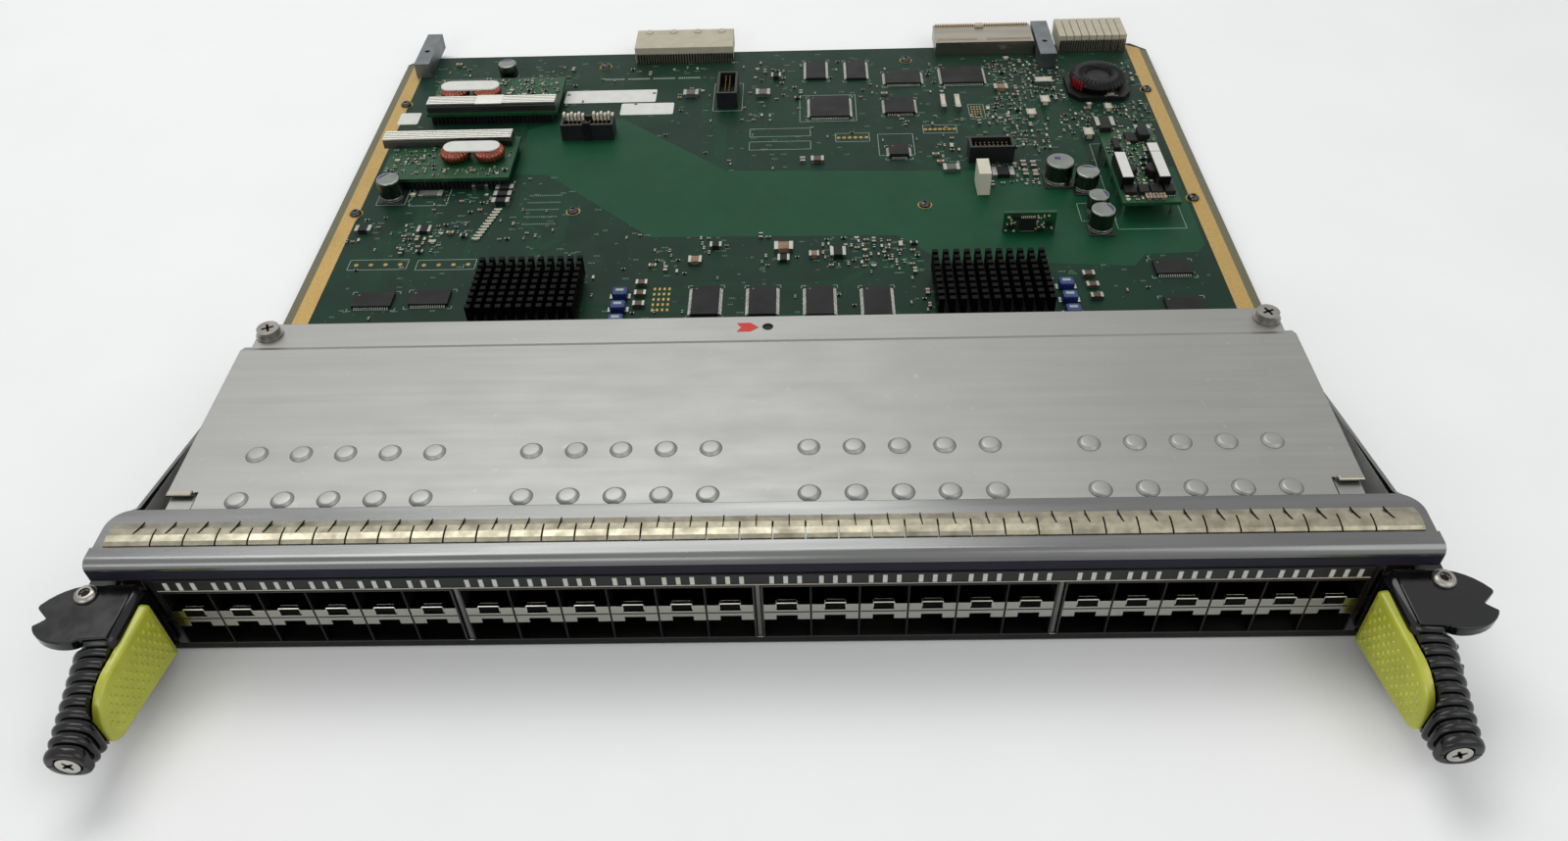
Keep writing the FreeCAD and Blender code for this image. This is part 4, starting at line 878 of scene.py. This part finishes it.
def header_pins():
    """Gold pins in the shrouded headers, and the pale comb and key of the first one."""
    pins, combs, keys = Solid(), Solid(), Solid()
    headers = islands("shrouded_headers")
    for lo, hi, centre in headers:
        size = hi - lo
        turn = 1 if size.x > size.y else -1
        count = int((max(size.x, size.y) - 4) / 2)
        for step in range(count):
            for row in (-1, 1):
                x, y = ((step - (count - 1) / 2) * 2, row)[::turn]
                pins.brick((centre.x + x, centre.y + y, lo.z + 2), (0.5, 0.5, size.z - 3), 0.15)
    lo, hi, centre = headers[0]
    for step, x in enumerate(spaced(lo.x, hi.x, 0.9, 14)):
        if abs(x - centre.x) > 2.4:
            combs.brick((x, hi.y - 0.6, hi.z - 2), (1.2, 2.6, 3.6 - (step % 2) * 0.7), 0.2)
    keys.brick((centre.x, lo.y + 0.2, lo.z), (3.6, 1.6, hi.z - lo.z + 1.4), 0.3)
    pins.piece("header_pins", "gold", METAL_SLOT)
    combs.piece("header_combs", "white", LABEL_SLOT)
    keys.piece("header_key", "black", BLACK_SLOT)


def power_module_details():
    """Chips, capacitors, round cores and blank labels on the raised module."""
    parts, black, labels, cores = Passives(), Solid(), Solid(), Solid()
    top = high("power_module").z
    for x0, x1 in ((152, 157.3), (158, 162.8), (163, 168.5), (169, 173.7)):
        black.brick(((x0 + x1) / 2, 223.2, top), (x1 - x0 - 0.5, 6.2, 2.2), 0.2)
        for x in spaced(x0, x1, 0.9, 4):
            parts.caps.brick((x, 219.6, top), (0.5, 1.0, 0.5), 0.1)
    parts.taken = []
    for row in range(2):
        for column in range(3):
            parts.put(161.6 + column * 3, 217.2 + row * 2.2, 2.6, 1.9, 1.5, "tan", base=top)
    for x, y, length, depth, tall in ((155.6, 259.6, 2.8, 8.4, 2.6), (163.5, 266.1, 5, 7.6, 1.8),
                                      (169.3, 268, 4.9, 7.2, 3.4), (153.5, 274, 5, 3, 2.6),
                                      (171.4, 255.2, 5.2, 8.8, 2.2)):
        black.brick((x, y, top), (length, depth, tall), 0.3)
    labels.brick((171.4, 255.2, top + 2.2), (4.6, 7.8, 0.1))
    left, right = islands("power_chokes")
    for (lo, hi, centre), core_x in ((left, left[1].x), (right, right[0].x)):
        labels.brick((centre.x, centre.y, hi.z), (hi.x - lo.x - 0.7, hi.y - lo.y - 1, 0.14), 0.05)
        cores.turned((core_x, centre.y, top),
                     ((3.2, 0), (3.4, 0.6), (3.4, 4), (3, 4.6), (1.2, 4.6)), 28)
    for x0, y0, x1, y1, count in ((157, 228, 166, 246, 26), (151.5, 248, 168, 262, 34),
                                  (157, 262, 174, 275, 16), (152, 216.5, 160, 219.5, 5)):
        parts.scatter(x0, y0, x1, y1, count, top)
    parts.finish("power_module_parts")
    black.piece("power_module_chips", "chip", CHIP_SLOT)
    cores.piece("power_module_cores", "black", CORE_SLOT, smooth=True)
    labels.piece("power_module_labels", "paper", LABEL_SLOT)


def daughter_details():
    """Parts on the front of the small upright board."""
    lo, hi, _ = box("daughter_board")
    chip_x, chip_z = 109, 6.4
    black, bright = Solid(), Solid()

    def stand(solid, x, z, width, tall, proud):
        """A block on the board's front, given by the middle of its lower edge."""
        left, right = x - width / 2, x + width / 2
        solid.loft([[(left, y, z), (right, y, z), (right, y, z + tall), (left, y, z + tall)]
                    for y in (lo.y, lo.y - proud)])

    stand(black, chip_x, chip_z, 6.4, 6, 1.4)
    for x, z in ((102.4, 7), (117.6, 8.4), (114.6, 5.6), (104.6, 11.6)):
        stand(black, x, z, 2.8, 1.8, 1)
    # The tinned ends and the chip's leads are drawn in pale ivory: painted light for what their metal
    # reflects.
    for _ in range(46):
        x, z = DICE.uniform(lo.x + 1, hi.x - 1), DICE.uniform(lo.z + 0.8, hi.z - 1.4)
        if abs(x - chip_x) > 3.8 or z < 5.6 or z > 12.6:
            stand(bright, x, z, DICE.choice((0.5, 0.9)), DICE.choice((0.5, 0.8)), 0.6)
    for step in range(8):
        for z, tall in ((5.7, 0.7), (12.4, 0.6)):
            stand(bright, chip_x - 2.8 + step * 0.8, z, 0.4, tall, 0.9)
    black.piece("daughter_chips", "chip", CHIP_SLOT)
    bright.piece("daughter_lit_caps", "ivory", METAL_SLOT)


def ring_coil():
    """The large choke: a dark wound coil in a black base, with a red-wired tap."""
    lo, hi, centre = box("ring_inductor")
    radius = (hi.x - lo.x) / 2
    base, core, coil, wire = Solid(), Solid(), Solid(), Solid()
    outline = ((-0.98, -0.55), (-0.7, -0.92), (0.7, -0.92), (0.98, -0.55), (0.98, 0.55),
               (0.62, 0.95), (-0.62, 0.95), (-0.98, 0.55))
    base.plate([(centre.x + radius * x, centre.y + radius * y) for x, y in outline], lo.z, 2.4)
    core.turned((centre.x, centre.y, lo.z), ((radius * 0.42, 0), (radius * 0.42, 6.2),
                                             (radius * 0.36, 6.8), (0, 6.9)), 28)
    section = (radius * 0.26, 3.3)
    wound_ring(coil, (centre.x, centre.y, lo.z + 5.6), radius * 0.62, section, 36, 0.05)
    for x, y in arc(centre, radius * 0.86, 196, 28, 4):
        wire.turned((x, y, lo.z + 3.2), ((0.35, 0), (0.55, 0.5), (0.55, 4), (0.3, 4.6)), 10)
    base.piece("ring_coil_base", "black", CORE_SLOT, replaces=["ring_inductor"])
    core.piece("ring_coil_core", "black", CORE_SLOT, smooth=True)
    coil.piece("ring_coil_winding", "winding", CORE_SLOT, smooth=True)
    wire.piece("ring_coil_red_wire", "red_wire", CORE_SLOT, smooth=True)


def rear_details():
    """Pin rows, contacts and lobes of the rear connectors, and dark slivers between the comb's teeth as
    painted shade in the gaps.
    """
    comb, gold, lobes, slits = Solid(), Solid(), Solid(), Solid()
    for node, count, tooth, gap, tall in (("signal_connector", 36, 0.7, 0.68, 5.2),
                                          ("power_connector", 27, 0.6, 0.62, 6.4)):
        lo, hi, _ = box(node)
        for x in spaced(lo.x, hi.x, 0.9, count):
            comb.brick((x, lo.y - tooth / 2, lo.z), (tooth, tooth, tall), 0.1)
            slits.brick((x + gap, lo.y - 0.05, lo.z), (tooth - 0.2, 0.12, tall - 0.2))
    lo, hi, _ = box("signal_connector")
    for x in spaced(lo.x, hi.x, (hi.x - lo.x) / 8, 4):
        lobes.turned((x, hi.y - 2.4, hi.z), ((2.2, 0), (2.1, 0.45), (1.5, 0.6)), 24)
    lo, hi, centre = box("shielded_connector")
    for step, x in enumerate(spaced(lo.x, hi.x, 1.6, 40)):
        if abs(step - 18.5) > 2:
            gold.brick((x, hi.y - 0.8, hi.z), (0.7, 1.4, 0.9), 0.15)
            gold.brick((x, lo.y + 3.4, hi.z), (0.55, 1.6, 0.35), 0.1)
    lobes.brick((centre.x - 1.2, hi.y - 2, hi.z), (4.4, 3, 1.4), 0.4)
    comb.piece("rear_pin_rows", "shield", "grey_shield")
    slits.piece("rear_comb_gap_shades", "hole", BLACK_SLOT)
    gold.piece("rear_gold_contacts", "gold", METAL_SLOT)
    lobes.piece("rear_lobes", "cream", "dark_plastic", smooth=True)


# ---------------------------------------------------------------- face and ports

PORT_PITCH, GANG_PITCH = 14.25, 87.9
DIMPLE_RISE, DIMPLE_ROWS = 0.9, (30.2, 49.9)
COVER_SHEET = 1.2
COVER_TOP = high("cover_plate").z - DIMPLE_RISE
FINGER_PITCH = 9.5
TONGUE_X, TONGUE_Y = 179.1, 33.3


def face_overlay():
    """The dark violet film across the face under its nose; its printing is left off."""
    half = high("faceplate").x - 0.4
    upper = (high("light_pipe_bezel").z + 0.6, high("faceplate").z - 3.1)
    lower = (1.4, low("cage_shell_1").z - 0.8)
    for name, (base, top), finish in (("face_film", upper, "overlay"),
                                      ("face_lower_film", lower, "black")):
        outline = [(-half, base), (half, base), (half, top), (-half, top)]
        film = Solid().loft([[(x, y, z) for x, z in outline] for y in (0.0, -0.1)])
        film.piece(name, finish, "black_paint")


def spring_fingers():
    """Curved relief slits midway between the straight ones, from the rear edge of the gasket, drawn as dark
    strips of painted shade.
    """
    marks = Solid()
    lo, hi, _ = box("gasket_strip")
    count = int((hi.x - 4) / FINGER_PITCH)
    for index in range(-count, count + 1):
        path = [(index * FINGER_PITCH + 1.3 * index / count * (1 - share) ** 2, lo.y + 4.4 + 4.6 * share)
                for share in [step / 7 for step in range(8)]]
        for start, end in zip(path, path[1:]):
            fall = 0.9 * (max(0, start[1] - lo.y - 4.5) / 5) ** 2
            marks.strip([start, end], 0.3, hi.z - 0.25 - fall, 0.32)
    marks.piece("finger_slit_shades", "hole", "finger_metal")


def divider_trim():
    """Painted light on the front of each port divider: a dark line as shade in the fold, a dark plate as
    shade in the latch recess, and a bright strip as a highlight on the latch edge.
    """
    fold_shades, edges, recess_shades = Solid(), Solid(), Solid()
    for gang in range(1, 5):
        for lo, hi, centre in islands("port_dividers_%d" % gang):
            if hi.x - lo.x < 10:
                continue
            fold_shades.brick((centre.x, lo.y - 0.06, lo.z + 3.4), (hi.x - lo.x - 0.2, 0.14, 0.25))
            recess_shades.brick((centre.x, lo.y + 0.9, hi.z - 2.5), (5.9, 1.9, 2.1))
            edges.brick((centre.x, lo.y + 0.02, hi.z - 0.35), (6.1, 0.3, 0.4), 0.1)
            for side in (-1, 1):
                edges.brick((centre.x + side * 3.1, lo.y + 0.02, hi.z - 2.6), (0.22, 0.3, 2.4), 0.05)
    fold_shades.piece("divider_fold_shades", "cage", "mirror_steel")
    recess_shades.piece("latch_recess_shades", "hole", BLACK_SLOT)
    edges.piece("latch_highlights", "latch_highlight", "mirror_steel")


def cover_dimples():
    """Smooth round domes over the pressed dimples of the cover."""
    domes = Solid()
    for gang in range(4):
        for step in range(5):
            x = (gang - 1.5) * GANG_PITCH + (step - 2) * PORT_PITCH
            for y in DIMPLE_ROWS:
                domes.turned((x, y, COVER_TOP), ((3.62, 0), (3.42, 0.14), (3.15, 0.44), (2.88, 0.74),
                                                 (2.6, 0.92), (2.1, 0.98), (0, 1.0)), 40)
    domes.piece("cover_domes", "cover", "cover_steel", smooth=True)


def face_trim():
    """Pale lips under the light pipes and the cage, tongue lips, and pale sheets on the insides of the
    gussets as painted light on those shaded faces.
    """
    lips, lit_linings = Solid(), Solid()
    bezel, cage = low("light_pipe_bezel"), low("cage_shell_1")
    lips.brick((0, bezel.y - 0.1, bezel.z + 0.1), (2 * high("light_pipe_bezel").x, 0.3, 0.4), 0.1)
    lips.brick((0, cage.y + 0.6, cage.z - 0.5), (2 * -cage.x, 0.3, 0.3), 0.1)
    gusset_inside = high("faceplate").x - 1.25
    side_view = ((12, 6), (118, 6), (118, 12), (82, 21.5), (24, 30.5), (12, 31))
    for _, sign in SIDES:
        lips.brick((sign * TONGUE_X, TONGUE_Y, COVER_TOP - 0.05), (7.8, 2.0, 0.8), 0.35)
        # Painted light: a pale matte sheet just inside each gusset lightens its shaded inner face.
        lit_linings.loft([[(sign * x, y, z) for y, z in side_view]
                      for x in (gusset_inside, gusset_inside - 0.1)])
    lips.piece("face_lips", "shield", "cage_steel")
    lit_linings.piece("gusset_painted_light", "lit_lining", "black_paint")


def cover_sticker():
    """A small red pointer sticker beside the hole in the cover, on its lower rear flange."""
    flange_top = COVER_TOP - COVER_SHEET
    outline = ((-9.4, 108.8), (-4.6, 108.8), (-1.8, 111), (-4.6, 113.4), (-9.4, 113.4), (-7.9, 111))
    sticker = Solid().plate(outline, flange_top + 0.01, 0.12)
    sticker.piece("cover_pointer_sticker", "red", LABEL_SLOT)


# ---------------------------------------------------------------- screws and levers

LEVER_SLOT = "lever_plastic"
LEVER_TOP, LEVER_BOTTOM = high("lever_upper_right").z, low("lever_lower_right").z
LEVER_MIDDLE = (LEVER_TOP + LEVER_BOTTOM) / 2
PIVOT_X, PIVOT_Y = 192.8, -4.3
SCREW_X, SCREW_BORE = 184.4, 3.75
CLAW_SHEET = 3.6
# The grip at its root and at its tip: middle x, y, and half its width and height.
GRIP_ROOT = (186.2, -20.5, 7.0, 13.4)
GRIP_TIP = (184.6, -50.4, 6.0, 5.2)
CAP_THICK = 2.6
RIB_PITCH, RIB_DEPTH, RIB_THICK = 3.35, 1.3, 2.1
# Upper half of the grip's section at its root and at its tip, as shares of the half sizes.
ROOT_HALF = ((1, 0.2), (0.86, 0.6), (0.45, 0.9), (-0.2, 1), (-0.8, 0.98), (-1, 0.84))
TIP_HALF = ((1, 0.26), (0.8, 0.7), (0.36, 0.96), (-0.36, 0.96), (-0.8, 0.7), (-1, 0.26))
PAD_SEAT, PAD_LEAN = 175.0, math.radians(7)
PAD_LOW, PAD_HIGH, PAD_REAR, PAD_FRONT = 6.6, 30.4, 5.0, 39.4


def star(radius, points, depth):
    """Outline of a star recess in plan."""
    tips = zip(circle((0, 0), radius, points * 2), circle((0, 0), radius * depth, points * 2))
    return [inner if step % 2 else outer for step, (outer, inner) in enumerate(tips)]


def screw_heads():
    """Domed black heads on the board, and button heads on the lever pivots."""
    domes, buttons = Solid(), Solid()
    for lo, _, centre in islands("board_screws"):
        domes.turned((centre.x, centre.y, lo.z),
                     ((2.6, 0), (2.6, 0.35), (2.35, 0.9), (1.8, 1.45), (1.1, 1.75), (0.9, 1.7),
                      (0.8, 1.2), (0, 1.2)), 32)
    for _, hi, centre in islands("pivot_screws"):
        base, sign = (LEVER_TOP, 1) if hi.z > LEVER_MIDDLE else (LEVER_BOTTOM, -1)
        buttons.turned((centre.x, centre.y, 0),
                       [(radius, base + sign * rise) for radius, rise in
                        ((2, -6), (2, 0.05), (3.3, 0.05), (3.35, 0.5), (3.15, 0.95), (2.6, 1.4),
                         (1.9, 1.6), (1.65, 1.55), (1.55, 0.7), (0, 0.7))], 40)
    domes.piece("board_screw_heads", "jet", "black_screw", smooth=True, replaces=["board_screws"])
    buttons.piece("pivot_button_heads", "button", METAL_SLOT, smooth=True,
                  replaces=["pivot_screws"])


def screw_recess_shades():
    """Dark crosses in the cover screws and dark stars in the upper pivot screws, as painted shade inside
    their recesses.
    """
    crosses, stars = Solid(), Solid()
    for _, hi, centre in islands("cover_screws"):
        for turn in (0.4, 0.4 + math.pi / 2):
            crosses.brick((centre.x, centre.y, hi.z - 0.02), (4.2, 0.9, 0.05), turn=turn)
    for _, hi, centre in islands("pivot_screws"):
        if hi.z > LEVER_MIDDLE:
            stars.plate(spun(star(1.5, 6, 0.7), centre, 0), LEVER_TOP + 0.7, 0.05)
    crosses.piece("screw_recess_shades", "hole", "black_screw")
    stars.piece("pivot_recess_shades", "cage_edge", "black_screw")


def smooth_loop(points, per_span):
    """Points of a closed smooth curve through the given ones."""
    loop = []
    count = len(points)
    for index in range(count):
        p0, p1, p2, p3 = (points[(index + shift) % count] for shift in (-1, 0, 1, 2))
        for step in range(per_span):
            t = step / per_span
            loop.append(tuple(0.5 * (2 * b + (c - a) * t + (2 * a - 5 * b + 4 * c - d) * t * t
                                     + (3 * b - a - 3 * c + d) * t ** 3)
                              for a, b, c, d in zip(p0, p1, p2, p3)))
    return loop


ROOT_LOOP, TIP_LOOP = (smooth_loop(list(half) + [(u, -v) for u, v in reversed(half)], 5)
                       for half in (ROOT_HALF, TIP_HALF))


def grip_ring(y, inset):
    """One ring of the right lever's grip, cut flat behind the pad as far forward as the pad goes."""
    share = (GRIP_ROOT[1] - y) / (GRIP_ROOT[1] - GRIP_TIP[1])
    middle, _, half_x, half_z = (root + (tip - root) * share for root, tip in zip(GRIP_ROOT, GRIP_TIP))
    past_pad = min(1, max(0, (2 - PAD_FRONT - y) / 4))
    flat_x = PAD_SEAT + math.tan(PAD_LEAN) * -y + 2.7 - 4.7 * past_pad
    ring = []
    for (u0, v0), (u1, v1) in zip(ROOT_LOOP, TIP_LOOP):
        u, v = u0 + (u1 - u0) * share, v0 + (v1 - v0) * share
        x, z = middle + (half_x - inset) * u, LEVER_MIDDLE + (half_z - inset) * v
        ring.append((max(x, flat_x), y, z))
    return ring


def grip_rings():
    """Rings of the ribbed grip from its root to the cap, and down into the screw's bore."""
    rib = ((1.25, RIB_DEPTH), (1.12, 0.75), (0.85, 0.28), (0.45, 0.04), (0, -0.05),
           (-0.45, 0.04), (-0.85, 0.28), (-1.12, 0.75), (-1.25, RIB_DEPTH))
    cap = ((0.2, RIB_DEPTH), (0, 0.6), (-0.3, 0.1), (-0.8, -0.05), (-1.8, -0.05), (-2.2, 0.12),
           (-2.5, 0.5), (-2.6, 0.9))
    root_end, cap_rear, tip_y = GRIP_ROOT[1] + 1.5, GRIP_TIP[1] + CAP_THICK, GRIP_TIP[1]
    rings = [grip_ring(root_end, RIB_DEPTH)]
    for number in range(8, 0, -1):
        centre = cap_rear + number * RIB_PITCH - RIB_THICK / 2
        rings += [grip_ring(centre + lift, inset) for lift, inset in rib if centre + lift < root_end]
    rings += [grip_ring(cap_rear + lift, inset) for lift, inset in cap]
    face = rings[-1]
    for radius, depth in ((SCREW_BORE + 0.25, 0), (SCREW_BORE, 0.25), (SCREW_BORE, 2.9), (0.4, 2.9)):
        angles = [math.atan2(z - LEVER_MIDDLE, x - SCREW_X) for x, _, z in face]
        rings.append([(SCREW_X + radius * math.cos(angle), tip_y + depth,
                       LEVER_MIDDLE + radius * math.sin(angle)) for angle in angles])
    return rings


def block_rings():
    """Rings of the rounded block between the claws, front shoulders softened."""
    outer_x, low_z, high_z = 188.6, 3.85, 32.85
    return [[(x, y, z) for x, z in rounded(inner_x + inset / 2, low_z + inset, outer_x - inset / 2,
                                           high_z - inset, 3.2, 1.2, 6)]
            for y, inset, inner_x in ((-0.4, 0.5, 177.4), (-0.9, 0, 177.4), (-17.6, 0, 179.0),
                                      (-19.2, 0.5, 179.1), (-20.4, 1.6, 179.3), (-21.2, 3.4, 179.6),
                                      (-21.4, 5.0, 180.0))]


def claw_outline():
    """The hooked claw in plan: smooth spans round its sharp points, about the pivot."""
    spans = (((0.2, 3.9), (4.6, 3.6), (9.2, 1.2), (12.1, -3.1)),
             ((12.1, -3.1), (12.3, -3.5), (12.3, -4.0), (12.0, -4.5)),
             ((12.0, -4.5), (10.8, -5.6), (9.6, -6.7), (8.5, -7.7)),
             ((8.5, -7.7), (8.3, -8.0), (8.4, -8.3), (8.7, -8.5)),
             ((8.7, -8.5), (9.6, -9.3), (10.4, -9.9), (11.2, -10.5)),
             ((11.2, -10.5), (10.4, -13.2), (7.0, -15.9), (2.4, -16.6)),
             ((2.4, -16.6), (-0.8, -17.0), (-3.0, -16.6), (-4.3, -15.4)))
    outline = []
    for span in spans:
        for t in [step / 6 for step in range(6)]:
            weights = ((1 - t) ** 3, 3 * (1 - t) ** 2 * t, 3 * (1 - t) * t * t, t ** 3)
            outline.append(tuple(sum(w * p[axis] for w, p in zip(weights, span)) for axis in (0, 1)))
    outline += [(-4.3, -15.4), (-12.0, -15.0), (-12.8, 3.9)]
    return [(PIVOT_X + x, PIVOT_Y + y) for x, y in outline]


def lever_bodies():
    """The two moulded levers: ribbed grip, rounded block and hooked claws."""
    claw = claw_outline()
    claws = [("lever_claw_" + level, [[(x, y, z) for x, y in claw] for z in (base, base + CLAW_SHEET)])
             for level, base in (("low", 3.5), ("high", 33.2 - CLAW_SHEET))]
    for side, sign in SIDES:
        body = "lever_" + side
        for name, rings in [("lever_grip", grip_rings()), ("lever_block", block_rings())] + claws:
            mirrored = [[(sign * x, y, z) for x, y, z in ring] for ring in rings]
            stands_for = ["lever_upper_" + side, "lever_lower_" + side] if name == "lever_grip" else ()
            thing = Solid().loft(mirrored).piece("%s_%s" % (name, side), "lever", LEVER_SLOT, body,
                                                 smooth=True, replaces=stands_for)
            if "claw" in name:
                bevel = thing.modifiers.new("edges", "BEVEL")
                bevel.width = 0.4 * MM
                bevel.segments = 3
                bevel.limit_method = "ANGLE"
                bevel.angle_limit = math.radians(40)
        seam = Solid()
        for x0, x1 in ((179.2, 180.4), (188.3, 190.1)):
            seam.brick((sign * (x0 + x1) / 2, GRIP_TIP[1] + 0.06, LEVER_MIDDLE - 0.12),
                       (x1 - x0, 0.2, 0.24))
        seam.piece("lever_seam_" + side, "hole", LEVER_SLOT, body)


def pad_outline():
    """The pad's D-shaped outline as (distance forward, height), rear corners lightly rounded."""
    corners = ((PAD_REAR, PAD_LOW, 1.6), (PAD_REAR, PAD_HIGH, 1.6), (PAD_FRONT, PAD_HIGH - 2.8, 13.5),
               (PAD_FRONT, PAD_LOW + 2.2, 5.0))
    outline = []
    for index, (forward, up, radius) in enumerate(corners):
        spot = Vector((forward, up))
        before = (Vector(corners[index - 1][:2]) - spot).normalized()
        after = (Vector(corners[(index + 1) % 4][:2]) - spot).normalized()
        half = before.angle(after) / 2
        reach = radius / math.tan(half)
        centre = spot + (before + after).normalized() * (radius / math.sin(half))
        start, end = spot + before * reach - centre, spot + after * reach - centre
        first, last = (math.degrees(math.atan2(way.y, way.x)) for way in (start, end))
        outline += arc(centre, radius, first, (last - first + 180) % 360 - 180, 12)
    return outline


def pads():
    """The yellow grip pads: a domed edge round a face with rows of raised dots."""
    outline = pad_outline()
    inward = []
    for index in range(len(outline)):
        ahead, behind = Vector(outline[(index + 1) % len(outline)]), Vector(outline[index - 1])
        run = (ahead - behind).normalized()
        inward.append((run.y, -run.x))
    spots = [(8 + step * 2.7 + (row % 2) * 1.35, 9.8 + row * 2.3) for row in range(9) for step in range(14)]
    spots = [(forward, up) for forward, up in spots
             if inside(forward, up, outline) and 9.2 + 0.06 * forward <= up <= 27.4 - 0.085 * forward
             and min(math.hypot(forward - s, up - z) for s, z in outline) >= 2.9]
    for side, sign in SIDES:

        def place(forward, up, proud):
            x = PAD_SEAT + forward * math.sin(PAD_LEAN) - proud * math.cos(PAD_LEAN)
            return (sign * x, -forward * math.cos(PAD_LEAN) - proud * math.sin(PAD_LEAN), up)

        shell, dots = Solid(), Solid()
        shell.loft([[place(s + a * inset, z + b * inset, proud)
                     for (s, z), (a, b) in zip(outline, inward)]
                    for inset, proud in ((0, -2.3), (0, -0.7), (0.12, -0.2), (0.5, 0.2),
                                         (1.1, 0.45), (1.8, 0.55))])
        for spot in spots:
            dots.loft([[place(s, z, proud) for s, z in circle(spot, radius, 10)]
                       for radius, proud in ((0.82, 0.5), (0.66, 0.82), (0.3, 0.98))])
        shell.piece("grip_pad_shell_" + side, "pad", "yellow_plastic", "lever_" + side, smooth=True,
                    replaces=["grip_pad_" + side])
        dots.piece("pad_dots_" + side, "pad", "yellow_plastic", "lever_" + side, smooth=True)


def captive_crosses():
    """A dark cross in each captive screw's head, as painted shade inside its recess."""
    arm = ((-1.9, -0.3), (-0.6, -0.55), (0.6, -0.55), (1.9, -0.3),
           (1.9, 0.3), (0.6, 0.55), (-0.6, 0.55), (-1.9, 0.3))
    for side, _ in SIDES:
        cross = Solid()
        head, _, centre = box("captive_screw_" + side)
        for turn in (0.5, 0.5 + math.pi / 2):
            outline = spun(arm, (centre.x, centre.z), turn)
            cross.loft([[(x, y, z) for x, z in outline] for y in (head.y + 0.02, head.y - 0.02)])
        cross.piece("captive_cross_shade_" + side, "hole", "black_screw", "captive_screw_" + side)


# ---------------------------------------------------------------- stage, in metres

def floor():
    mesh = bpy.data.meshes.new("floor")
    reach = 4.0
    mesh.from_pydata([(-reach, -reach, 0), (reach, -reach, 0), (reach, reach, 0), (-reach, reach, 0)],
                     [], [(0, 1, 2, 3)])
    sheet = bpy.data.objects.new("floor", mesh)
    bpy.context.scene.collection.objects.link(sheet)
    finish = Finish("pale_floor", (247, 247, 246), 0.7).tint(60, 0.01).gloss(40, 0.05)
    mesh.materials.append(finish.bump(2, 0.02).done())


def lamp(name, place, target, size, power):
    data = bpy.data.lights.new(name, "AREA")
    data.shape = "RECTANGLE"
    data.size, data.size_y = size
    data.energy = power
    thing = bpy.data.objects.new(name, data)
    thing.location = place
    thing.rotation_euler = (Vector(target) - Vector(place)).to_track_quat("-Z", "Y").to_euler()
    bpy.context.scene.collection.objects.link(thing)


def world():
    """Soft surroundings; what the camera, metal and glass see of them is plain white."""
    space = bpy.data.worlds.new("studio")
    bpy.context.scene.world = space
    space.use_nodes = True
    nodes, links = space.node_tree.nodes, space.node_tree.links
    plain = nodes["Background"]
    plain.inputs["Color"].default_value = (0.86, 0.88, 0.9, 1)
    plain.inputs["Strength"].default_value = 0.42
    white = nodes.new("ShaderNodeBackground")
    white.inputs["Color"].default_value = (1, 1, 1, 1)
    white.inputs["Strength"].default_value = 1.0
    path = nodes.new("ShaderNodeLightPath")
    seen = path.outputs["Is Camera Ray"]
    for name in ("Is Glossy Ray", "Is Transmission Ray"):
        total = nodes.new("ShaderNodeMath")
        total.operation = "ADD"
        total.use_clamp = True
        links.new(seen, total.inputs[0])
        links.new(path.outputs[name], total.inputs[1])
        seen = total.outputs[0]
    mix = nodes.new("ShaderNodeMixShader")
    links.new(seen, mix.inputs["Fac"])
    links.new(plain.outputs["Background"], mix.inputs[1])
    links.new(white.outputs["Background"], mix.inputs[2])
    links.new(mix.outputs["Shader"], nodes["World Output"].inputs["Surface"])


def camera():
    """The photograph's camera: its place and its own axes were solved from the port grid."""
    data = bpy.data.cameras.new("camera")
    data.sensor_width = 36
    data.lens = 27.36
    data.clip_start = 0.01
    thing = bpy.data.objects.new("camera", data)
    bpy.context.scene.collection.objects.link(thing)
    right = Vector((0.99963, 0.00608, -0.02639))
    up = Vector((0.01480, 0.69365, 0.72016))
    back = Vector((0.02268, -0.72028, 0.69331))
    turn = Matrix((right, up, back)).transposed().to_4x4()
    thing.matrix_world = Matrix.Translation((0.016273, -0.215010, 0.301698)) @ turn
    bpy.context.scene.camera = thing


def stage():
    floor()
    world()
    lamp("key", (-0.35, 0.75, 1.3), (0, 0.15, 0), (1.3, 0.7), 10.5)
    lamp("fill", (0.8, -0.5, 1.0), (0, 0.1, 0), (0.9, 0.9), 3.8)
    lamp("front", (-0.5, -1.1, 0.7), (0, 0.1, 0), (0.9, 0.5), 3.6)
    camera()
    bpy.context.scene.view_settings.view_transform = "Standard"


dress_cad()
board_edges()
copper_pour()
traces()
vias()
passives()
chip_leads()
ink()
stickers()
electrolytics()
chokes()
module_parts()
rounded_blues()
header_pins()
power_module_details()
daughter_details()
ring_coil()
rear_details()
face_overlay()
spring_fingers()
divider_trim()
cover_dimples()
face_trim()
cover_sticker()
screw_heads()
screw_recess_shades()
lever_bodies()
pads()
captive_crosses()
stage()
